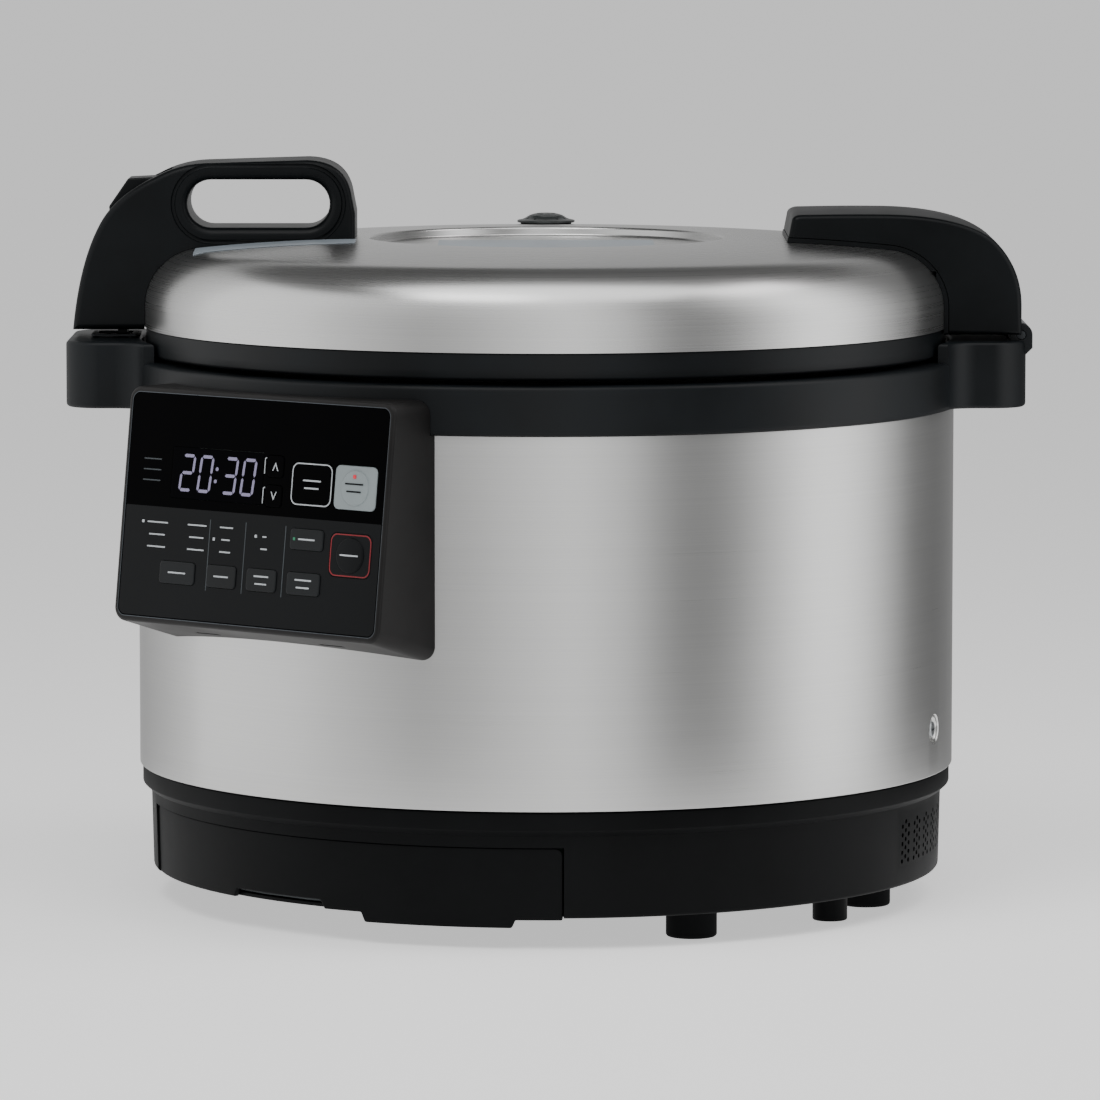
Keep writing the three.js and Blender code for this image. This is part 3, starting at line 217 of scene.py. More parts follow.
def slab(
    outer: Sequence[Point],
    low: float,
    high: float,
    edge: float = 0.0,
    holes: Sequence[Sequence[Point]] = (),
    hole_edge: float | None = None,
    steps: int = 4,
) -> Mesh:
    """Raises an outline drawn in x and y into a slab whose rims are rounded.

    Args:
        outer: The slab's outline.
        low: Its lower level.
        high: Its upper level.
        edge: The radius of the outline's two rims.
        holes: Outlines that go right through.
        hole_edge: The radius of the holes' rims, or the same as the outline's.
        steps: How many straight pieces each rim has.

    Returns:
        The closed shape.
    """
    shape = bmesh.new()
    rim_edges: dict[str, list[bmesh.types.BMEdge]] = {"low": [], "high": []}
    for number, loop in enumerate([outer, *holes]):
        radius = edge if number == 0 or hole_edge is None else hole_edge
        inward = -1 if number == 0 else 1
        away = outward_normals(loop)
        levels = rim_levels(low, high, radius, steps)
        inset, level = levels[0]
        places = [(p + n * inward * inset, level) for p, n in away]
        edges = chain(shape, [(place.x, place.y, z) for place, z in places], True)
        rim_edges["low"] += edges
        ring = list(dict.fromkeys(v for e in edges for v in e.verts))
        for inset, level in levels[1:]:
            made = bmesh.ops.extrude_edge_only(shape, edges=edges)["geom"]
            edges = [item for item in made if isinstance(item, bmesh.types.BMEdge)]
            edges = [item for item in edges if all(v in made for v in item.verts)]
            fresh = {v for item in edges for v in item.verts}
            edges = [item for item in edges if set(item.verts) <= fresh - set(ring)]
            next_ring = [partner(vert, fresh) for vert in ring]
            for vert, (point, normal) in zip(next_ring, away):
                place = point + normal * inward * inset
                vert.co = (place.x, place.y, level)
            ring = next_ring
        rim_edges["high"] += edges
    bmesh.ops.triangle_fill(shape, edges=rim_edges["low"], use_beauty=True)
    bmesh.ops.triangle_fill(shape, edges=rim_edges["high"], use_beauty=True)
    bmesh.ops.recalc_face_normals(shape, faces=shape.faces)
    return shape


def partner(vert: bmesh.types.BMVert, fresh: set[bmesh.types.BMVert]) -> bmesh.types.BMVert:
    """The new vertex that an extrusion joined to an old one."""
    return next(edge.other_vert(vert) for edge in vert.link_edges if edge.other_vert(vert) in fresh)


def rim_levels(low: float, high: float, radius: float, steps: int) -> list[tuple[float, float]]:
    """The (inset, level) steps from a slab's lower face to its upper face, round both rims."""
    if radius <= 0:
        return [(0, low), (0, high)]
    quarter = [math.pi / 2 * i / steps for i in range(steps + 1)]
    lower = [(radius * (1 - math.sin(a)), low + radius * (1 - math.cos(a))) for a in quarter]
    upper = [(inset, high - (level - low)) for inset, level in reversed(lower)]
    return lower + upper


def outward_normals(loop: Sequence[Point]) -> list[tuple[Vector, Vector]]:
    """Each point of a closed outline with the direction that points out of it, mitred at corners."""
    points = [Vector(p) for p in loop]
    count = len(points)
    area = sum(points[i - 1].cross(points[i]) for i in range(count))
    turn = 1 if area > 0 else -1
    result = []
    for index, point in enumerate(points):
        before = (point - points[index - 1]).normalized()
        after = (points[(index + 1) % count] - point).normalized()
        first = Vector((before.y, -before.x)) * turn
        second = Vector((after.y, -after.x)) * turn
        mean = (first + second).normalized()
        stretch = 1 / max(mean.dot(first), 0.35)
        result.append((point, mean * stretch))
    return result


def block(low: Sequence[float], high: Sequence[float], edge: float = 0.0, steps: int = 3) -> Mesh:
    """A box between two corners, with its edges rounded."""
    shape = bmesh.new()
    size = Vector(high) - Vector(low)
    middle = (Vector(high) + Vector(low)) / 2
    bmesh.ops.create_cube(shape, size=1, matrix=Matrix.Translation(middle) @ Matrix.Diagonal((*size, 1)))
    if edge > 0:
        bmesh.ops.bevel(
            shape,
            geom=shape.edges[:],
            offset=edge,
            offset_type="OFFSET",
            affect="EDGES",
            segments=steps,
            profile=0.5,
            material=-1,
        )
    return shape


def rod(
    radius: float,
    start: Sequence[float],
    end: Sequence[float],
    edge: float = 0.0,
    steps: int = 40,
) -> Mesh:
    """A cylinder from one point to another, with its end rims rounded."""
    first, last = Vector(start), Vector(end)
    length = (last - first).length
    if edge > 0:
        outline = [(0, 0), *arc((radius - edge, edge), edge, -90, 0, 4)]
        outline += [*arc((radius - edge, length - edge), edge, 0, 90, 4), (0, length)]
    else:
        outline = [(0, 0), (radius, 0), (radius, length), (0, length)]
    shape = turned(outline, steps, closed=False)
    spin = (last - first).to_track_quat("Z", "Y").to_matrix().to_4x4()
    shape.transform(Matrix.Translation(first) @ spin)
    return shape


def split(shape: Mesh, place: Sequence[float], across: Sequence[float]) -> None:
    """Adds edges where a plane crosses a shape, so that it can bend there."""
    whole = shape.verts[:] + shape.edges[:] + shape.faces[:]
    bmesh.ops.bisect_plane(shape, geom=whole, plane_co=place, plane_no=across)


def moved(shape: Mesh, matrix: Matrix) -> Mesh:
    """The same shape after a rigid move."""
    shape.transform(matrix)
    return shape


def upright(shape: Mesh, depth: float) -> Mesh:
    """Stands a slab drawn in x and y up, so that y is height and its depth is centred on y = 0."""
    turn = Matrix.Rotation(math.pi / 2, 4, "X")
    return moved(shape, Matrix.Translation((0, depth / 2, 0)) @ turn)


def linked(name: str, data: bpy.types.ID) -> bpy.types.Object:
    """A new object in the scene."""
    thing = bpy.data.objects.new(name, data)
    bpy.context.scene.collection.objects.link(thing)
    return thing


def baked(name: str, shape: Mesh) -> bpy.types.Mesh:
    """A shape's mesh; the shape itself is used up."""
    mesh = bpy.data.meshes.new(name)
    shape.to_mesh(mesh)
    shape.free()
    return mesh


def merged(shapes: Sequence[Mesh]) -> Mesh:
    """Puts several shapes into one mesh."""
    whole = bmesh.new()
    for shape in shapes:
        holder = baked("part", shape)
        whole.from_mesh(holder)
        bpy.data.meshes.remove(holder)
    return whole


def carved(shape: Mesh, tools: Sequence[Mesh], operation: str = "DIFFERENCE") -> Mesh:
    """Cuts tools out of a shape, or joins or keeps what they share."""
    for tool in tools:
        objects = [linked("carve", baked("carve", source)) for source in (shape, tool)]
        cutter = objects[0].modifiers.new("carve", "BOOLEAN")
        cutter.operation = operation
        cutter.solver = "EXACT"
        cutter.object = objects[1]
        graph = bpy.context.evaluated_depsgraph_get()
        result = objects[0].evaluated_get(graph)
        shape = bmesh.new()
        shape.from_mesh(result.to_mesh())
        result.to_mesh_clear()
        for thing in objects:
            holder = thing.data
            bpy.data.objects.remove(thing)
            bpy.data.meshes.remove(holder)
    bmesh.ops.remove_doubles(shape, verts=shape.verts, dist=1e-4)
    return shape


def bent(shape: Mesh, radius_at: Callable[[float], float], reference: float, every: float = 3.0) -> Mesh:
    """Bends a flat sheet round the pot's axis.

    Args:
        shape: A sheet drawn with x as the distance along the wall, y as the height and z as the depth
            outwards, with z = 0 at the wall's face.
        radius_at: The face's radius at a height.
        reference: The radius at which x is measured.
        every: The largest angle between two bends, in degrees.

    Returns:
        The bent shape.
    """
    low = min(v.co.x for v in shape.verts)
    high = max(v.co.x for v in shape.verts)
    pitch = math.radians(every) * reference
    for index in range(math.ceil(low / pitch), math.floor(high / pitch) + 1):
        split(shape, (index * pitch, 0, 0), (1, 0, 0))
    for vert in shape.verts:
        along, height, depth = vert.co
        x, y = around(math.degrees(along / reference), radius_at(height) + depth)
        vert.co = (x, y, height)
    bmesh.ops.recalc_face_normals(shape, faces=shape.faces)
    return shape


# Finishes


def linear(red: int, green: int, blue: int) -> tuple[float, float, float, float]:
    """A display colour, 0 to 255, as a linear colour with full alpha."""
    parts = [c / 255 for c in (red, green, blue)]
    return (*[p / 12.92 if p <= 0.04045 else ((p + 0.055) / 1.055) ** 2.4 for p in parts], 1.0)


class Graph:
    """A small helper that adds and links the nodes of one material."""

    PATTERN_RANGE = (0.3, 0.7)
    BLEND_RANGE = (0.35, 0.65)

    def __init__(self, name: str) -> None:
        """Starts a material with an empty Principled shader."""
        self.material = bpy.data.materials.new(name)
        self.material.use_nodes = True
        self.tree = self.material.node_tree
        self.shader = self.tree.nodes["Principled BSDF"]

    def add(self, kind: str, **settings: object) -> bpy.types.Node:
        """Adds a node and sets its properties."""
        node = self.tree.nodes.new(kind)
        for key, value in settings.items():
            setattr(node, key, value)
        return node

    def feed(self, node: bpy.types.Node, **sockets: object) -> bpy.types.Node:
        """Links or sets a node's inputs; an underscore in a name stands for a space."""
        for key, value in sockets.items():
            socket = node.inputs[key.replace("_", " ")]
            if isinstance(value, bpy.types.NodeSocket):
                self.tree.links.new(value, socket)
            else:
                socket.default_value = value
        return node

    def set(self, **sockets: object) -> None:
        """Links or sets the shader's inputs."""
        self.feed(self.shader, **sockets)

    def maths(self, operation: str, *values: object) -> bpy.types.NodeSocket:
        """Arithmetic on patterns and numbers."""
        node = self.add("ShaderNodeMath", operation=operation)
        for socket, value in zip(node.inputs, values):
            if isinstance(value, bpy.types.NodeSocket):
                self.tree.links.new(value, socket)
            else:
                socket.default_value = value
        return node.outputs[0]

    def place(self, middle: Sequence[float], scale: Sequence[float] = (1, 1, 1)) -> bpy.types.NodeSocket:
        """Object coordinates, moved to a middle and scaled."""
        source = self.add("ShaderNodeTexCoord").outputs["Object"]
        offset = [-m * s for m, s in zip(middle, scale)]
        mapping = self.feed(self.add("ShaderNodeMapping"), Vector=source, Scale=scale, Location=offset)
        return mapping.outputs["Vector"]

    def noise(self, vector: bpy.types.NodeSocket, scale: float, detail: float) -> bpy.types.NodeSocket:
        """A noise pattern's value."""
        node = self.feed(self.add("ShaderNodeTexNoise"), Vector=vector, Scale=scale, Detail=detail)
        return node.outputs["Fac"]

    def spread(self, value: bpy.types.NodeSocket, low: float, high: float) -> bpy.types.NodeSocket:
        """Maps the middle of a pattern's values onto a range."""
        node = self.add("ShaderNodeMapRange")
        least, most = self.PATTERN_RANGE
        self.feed(node, Value=value, From_Min=least, From_Max=most, To_Min=low, To_Max=high)
        return node.outputs["Result"]

    def blend_colours(
        self,
        value: bpy.types.NodeSocket,
        first: Sequence[float],
        second: Sequence[float],
    ) -> bpy.types.NodeSocket:
        """Mixes two colours by a pattern."""
        ramp = self.feed(self.add("ShaderNodeValToRGB"), Fac=value)
        stops = zip(ramp.color_ramp.elements, self.BLEND_RANGE, (first, second))
        for stop, position, colour in stops:
            stop.position = position
            stop.color = colour
        return ramp.outputs["Color"]

    def bump(self, value: bpy.types.NodeSocket, strength: float, distance: float) -> None:
        """Raises the surface by a pattern."""
        node = self.feed(self.add("ShaderNodeBump"), Height=value, Strength=strength, Distance=distance)
        self.set(Normal=node.outputs["Normal"])


def shade(colour: Sequence[float], factor: float) -> tuple[float, float, float, float]:
    """A colour made darker or lighter."""
    return (*[min(1.0, c * factor) for c in colour[:3]], 1.0)


@dataclass(frozen=True)
class Moulded:
    """Moulded plastic or rubber with a fine spark-eroded grain and faint handling marks."""

    name: str
    colour: tuple[float, float, float, float]
    roughness: float = 0.42
    grain: float = 2600.0
    depth: float = 0.12
    specular: float = 0.3
    variation: float = 0.25
    marks: float = 22.0

    def material(self, middle: Sequence[float]) -> bpy.types.Material:
        """Builds the material."""
        graph = Graph(self.name)
        place = graph.place(middle)
        fine = graph.noise(place, self.grain, 2)
        broad = graph.noise(place, self.marks, 4)
        low, high = shade(self.colour, 1 - self.variation), shade(self.colour, 1 + self.variation)
        graph.set(
            Base_Color=graph.blend_colours(broad, low, high),
            Roughness=graph.spread(broad, self.roughness - 0.04, self.roughness + 0.05),
            Specular_IOR_Level=self.specular,
        )
        graph.bump(fine, self.depth, 0.0001)
        return graph.material


class Grain(Enum):
    """Which way a brushed metal's lines run."""

    AROUND = "along a wall, round the upright axis"
    SPUN = "in rings on a face that was spun"


@dataclass(frozen=True)
class Brushed:
    """Brushed stainless steel, with fine drawn lines and faint cloudy rolling marks."""

    name: str
    colour: tuple[float, float, float, float]
    roughness: float = 0.3
    grain: Grain = Grain.AROUND
    lines: float = 900.0
    depth: float = 0.012
    anisotropy: float = 0.5
    along: float = 3.0
    drawn_share: float = 0.55

    def material(self, middle: Sequence[float]) -> bpy.types.Material:
        """Builds the material."""
        graph = Graph(self.name)
        if self.grain is Grain.AROUND:
            lines_at = graph.place(middle, (self.along, self.along, self.lines))
        else:
            lines_at = self.rings(graph, middle)
        drawn = graph.noise(lines_at, 1.0, 4)
        cloudy = graph.noise(graph.place(middle, (1, 1, 2.2)), 9, 5)
        rest = graph.maths("MULTIPLY", cloudy, 1 - self.drawn_share)
        mixed = graph.maths("MULTIPLY_ADD", drawn, self.drawn_share, rest)
        graph.set(
            Base_Color=graph.blend_colours(drawn, shade(self.colour, 0.97), shade(self.colour, 1.02)),
            Roughness=graph.spread(mixed, self.roughness - 0.03, self.roughness + 0.03),
            Metallic=1.0,
            Anisotropic=self.anisotropy,
            Anisotropic_Rotation=0.25,
            Tangent=graph.add("ShaderNodeTangent", direction_type="RADIAL", axis="Z").outputs["Tangent"],
        )
        graph.bump(drawn, self.depth, 0.00005)
        return graph.material

    def rings(self, graph: Graph, middle: Sequence[float]) -> bpy.types.NodeSocket:
        """Coordinates that change fast only with the distance from the axis, so that lines run in rings."""
        parts = graph.feed(graph.add("ShaderNodeSeparateXYZ"), Vector=graph.place(middle)).outputs
        flat = graph.feed(graph.add("ShaderNodeCombineXYZ"), X=parts["X"], Y=parts["Y"]).outputs[0]
        length = graph.feed(graph.add("ShaderNodeVectorMath", operation="LENGTH"), Vector=flat)
        down = graph.maths("SUBTRACT", length.outputs["Value"], parts["Z"])
        x, y = (graph.maths("MULTIPLY", parts[axis], self.along) for axis in "XY")
        dense = graph.maths("MULTIPLY", down, self.lines)
        return graph.feed(graph.add("ShaderNodeCombineXYZ"), X=x, Y=y, Z=dense).outputs["Vector"]


@dataclass(frozen=True)
class Metal:
    """Plain metal such as zinc-plated steel, cast aluminium or copper wire, with a mottled surface."""

    name: str
    colour: tuple[float, float, float, float]
    roughness: float = 0.4
    mottle: float = 400.0

    def material(self, middle: Sequence[float]) -> bpy.types.Material:
        """Builds the material."""
        graph = Graph(self.name)
        spots = graph.noise(graph.place(middle), self.mottle, 4)
        graph.set(
            Base_Color=graph.blend_colours(spots, shade(self.colour, 0.85), shade(self.colour, 1.08)),
            Roughness=graph.spread(spots, self.roughness - 0.08, self.roughness + 0.08),
            Metallic=1.0,
        )
        graph.bump(spots, 0.08, 0.0001)
        return graph.material


@dataclass(frozen=True)
class Wound:
    """Copper wire wound in flat rings round the upright axis."""

    name: str
    colour: tuple[float, float, float, float]
    pitch: float = 0.0022

    def material(self, middle: Sequence[float]) -> bpy.types.Material:
        """Builds the material."""
        graph = Graph(self.name)
        wave = graph.add("ShaderNodeTexWave", wave_type="RINGS", rings_direction="Z")
        scale = 1 / (self.pitch * FULL_TURN)
        graph.feed(wave, Vector=graph.place(middle), Scale=scale, Distortion=0.4)
        # The turns darken to under half towards the low grooves between them: painted shade in those
        # grooves.
        colours = graph.blend_colours(wave.outputs["Fac"], shade(self.colour, 0.45), self.colour)
        graph.set(Base_Color=colours, Metallic=0.9, Roughness=0.34)
        graph.bump(wave.outputs["Fac"], 0.6, 0.0006)
        return graph.material


@dataclass(frozen=True)
class Circuit:
    """Lacquered circuit board with copper tracks under the lacquer."""

    name: str
    colour: tuple[float, float, float, float]

    def material(self, middle: Sequence[float]) -> bpy.types.Material:
        """Builds the material."""
        graph = Graph(self.name)
        tracks = graph.feed(
            graph.add("ShaderNodeTexBrick", offset=0.37),
            Vector=graph.place(middle),
            Scale=160,
            Mortar_Size=0.05,
            Color1=self.colour,
            Color2=shade(self.colour, 0.7),
            Mortar=shade(self.colour, 1.9),
        )
        graph.set(Base_Color=tracks.outputs["Color"], Roughness=0.4, Coat_Weight=0.4)
        graph.bump(tracks.outputs["Fac"], 0.3, 0.0001)
        return graph.material


@dataclass(frozen=True)
class Lit:
    """A faintly glowing mark, such as a display segment or a lamp."""

    name: str
    colour: tuple[float, float, float, float]
    glow: float = 0.6

    def material(self, middle: Sequence[float]) -> bpy.types.Material:
        """Builds the material."""
        graph = Graph(self.name)
        soft = graph.noise(graph.place(middle), 500, 2)
        colours = graph.blend_colours(soft, shade(self.colour, 0.94), self.colour)
        graph.set(Base_Color=colours, Emission_Color=colours, Roughness=0.4, Emission_Strength=self.glow)
        return graph.material


BLACK = Moulded("black_plastic", linear(11, 15, 18), roughness=0.4, specular=0.2)
BASE_BLACK = Moulded("base_plastic", linear(11, 12, 13), roughness=0.5, specular=0.08)
LID_BLACK = Moulded("handle_plastic", linear(11, 14, 16), roughness=0.38, specular=0.14, grain=2200)
WARM_BLACK = Moulded("housing_plastic", linear(26, 25, 25), roughness=0.42, specular=0.2)
FACE_BLACK = Moulded(
    "face_gloss",
    linear(2, 2, 3),
    roughness=0.1,
    grain=900,
    depth=0.01,
    specular=0.02,
    variation=0.1,
)
FACE_GREY = Moulded(
    "face_satin",
    linear(11, 13, 15),
    roughness=0.32,
    grain=3000,
    depth=0.06,
    specular=0.12,
    variation=0.08,
)
KEY_GREY = Moulded("key_plastic", linear(17, 20, 22), roughness=0.34, specular=0.2)
KEY_SILVER = Moulded("key_silver", linear(150, 160, 162), roughness=0.35, specular=0.5, variation=0.06)
EDGE_SILVER = Metal("edge_silver", linear(84, 88, 92), roughness=0.34)
PRINT_WHITE = Moulded("white_print", linear(205, 210, 214), 0.5, grain=4000, depth=0.02, variation=0.05)
PRINT_GREY = Moulded("grey_print", linear(70, 76, 80), 0.5, grain=4000, depth=0.02, variation=0.1)
PRINT_RED = Moulded("red_print", linear(140, 38, 44), 0.45, grain=4000, depth=0.02, variation=0.1)
VENT_GREY = Moulded("vent_plastic", linear(58, 62, 62), roughness=0.34, specular=0.4, grain=1800)
LABEL = Moulded("blank_label", linear(158, 168, 176), roughness=0.32, grain=1400, depth=0.05, variation=0.1)
RUBBER = Moulded("rubber", linear(14, 15, 16), roughness=0.8, grain=1500, depth=0.3, specular=0.12)
SILICONE = Moulded("silicone", linear(205, 205, 200), roughness=0.55, grain=1200, depth=0.1, variation=0.05)
HEAT_PROOF = Moulded("heat_proof_plastic", linear(196, 190, 178), roughness=0.5, grain=1800, variation=0.06)
FILTER = Moulded("filter_mesh", linear(70, 74, 76), roughness=0.85, grain=700, depth=0.8)
FERRITE = Moulded("ferrite", linear(40, 40, 42), roughness=0.7, grain=900, depth=0.4)
DISPLAY = Moulded(
    "display_lens",
    linear(2, 2, 4),
    roughness=0.08,
    grain=800,
    depth=0.005,
    specular=0.02,
    variation=0.05,
)
SKIN_STEEL = Brushed("skin_steel", linear(200, 200, 199), roughness=0.3, lines=2400)
DOME_STEEL = Brushed("dome_steel", linear(204, 204, 203), 0.28, Grain.SPUN, 2200, anisotropy=0.3)
POT_STEEL = Brushed("pot_steel", linear(205, 206, 206), roughness=0.2, lines=800, anisotropy=0.4)
LINING_STEEL = Brushed("lining_steel", linear(190, 192, 194), roughness=0.34, grain=Grain.SPUN, lines=600)
ZINC = Metal("zinc_steel", linear(165, 168, 170), roughness=0.36)
DARK_STEEL = Metal("dark_steel", linear(52, 54, 56), roughness=0.45)
BRIGHT = Metal("bright_steel", linear(214, 214, 212), roughness=0.18)
ALUMINIUM = Metal("bare_aluminium", linear(186, 188, 191), roughness=0.42)
COPPER = Wound("copper_coil", linear(184, 115, 66))
BOARD = Circuit("circuit_board", linear(36, 86, 58))
DIGIT = Lit("display_digit", linear(136, 130, 160), glow=0.3)
RED_LAMP = Lit("red_lamp", linear(205, 34, 52), glow=0.5)
GREEN_LAMP = Lit("green_lamp", linear(30, 120, 84), glow=0.25)

Finish = Moulded | Brushed | Metal | Wound | Circuit | Lit


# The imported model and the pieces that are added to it


class Cad:
    """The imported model's places, in millimetres from the foot of the pot's axis."""

    def __init__(self, loaded: dict) -> None:
        """Finds the pot's axis from the round skin."""
        self.loaded = loaded
        low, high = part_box("outer_skin")
        self.axis = Vector(((low.x + high.x) / 2, (low.y + high.y) / 2, 0))
        self.to_frame = Matrix.Translation(self.axis) @ Matrix.Scale(MM, 4)

    def box(self, node: str) -> tuple[Vector, Vector]:
        """A node's lowest and highest corners."""
        low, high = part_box(node)
        return (low - self.axis) / MM, (high - self.axis) / MM

    def low(self, node: str) -> float:
        """The level of a node's underside."""
        return self.box(node)[0].z

    def high(self, node: str) -> float:
        """The level of a node's top."""
        return self.box(node)[1].z

    def radius(self, node: str) -> float:
        """Half of a node's extent along Y."""
        low, high = self.box(node)
        return (high.y - low.y) / 2

    def middle(self, node: str) -> Vector:
        """The middle of a node's box."""
        low, high = self.box(node)
        return (low + high) / 2

    def joint(self, name: str) -> dict:
        """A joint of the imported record."""
        return next(joint for joint in self.loaded["joints"] if joint["name"] == name)

    def pivot(self, name: str) -> Vector:
        """The place of a hinge joint."""
        return (Vector(self.joint(name)["pos_m"]) - self.axis) / MM


@dataclass
class Workshop:
    """Makes named objects from shapes, dresses them and puts them on the cooker's bodies."""

    cad: Cad
    made: dict[str, bpy.types.Material] = field(default_factory=dict)

    def finish(self, finish: Finish) -> bpy.types.Material:
        """The Blender material of a finish, built once."""
        if finish.name not in self.made:
            self.made[finish.name] = finish.material(self.cad.axis)
        return self.made[finish.name]

    def add(
        self,
        name: str,
        shape: Mesh,
        finish: Finish,
        body: str,
        slot: str,
        replaces: Sequence[str] = (),
        place: Matrix | None = None,
        sharp: float = 32.0,
        weighted: bool = False,
    ) -> bpy.types.Object:
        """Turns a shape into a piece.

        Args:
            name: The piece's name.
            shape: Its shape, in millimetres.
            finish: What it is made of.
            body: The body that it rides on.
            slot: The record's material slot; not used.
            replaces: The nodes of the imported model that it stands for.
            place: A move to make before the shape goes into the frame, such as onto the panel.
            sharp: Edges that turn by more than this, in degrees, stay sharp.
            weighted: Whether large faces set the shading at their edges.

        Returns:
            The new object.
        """
        if place is not None:
            shape.transform(place)
        shape.transform(self.cad.to_frame)
        limit = math.radians(sharp)
        for face in shape.faces:
            face.smooth = True
        for edge in shape.edges:
            edge.smooth = len(edge.link_faces) == 2 and edge.calc_face_angle(0) < limit
        mesh = baked(name, shape)
        mesh.materials.append(self.finish(finish))
        thing = linked(name, mesh)
        if weighted:
            normals = thing.modifiers.new("weighted_normals", "WEIGHTED_NORMAL")
            normals.keep_sharp = True
        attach(thing, body)
        if replaces:
            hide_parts(*replaces)
        LOG.info("%s: %d faces", name, len(mesh.polygons))
        return thing

    def dress(self, node: str, finish: Finish) -> None:
        """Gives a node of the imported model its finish."""
        thing = self.cad.loaded["nodes"][node]
        thing.data.materials.clear()
        thing.data.materials.append(self.finish(finish))
        LOG.info("%s: dressed as %s", node, finish.name)


# Base


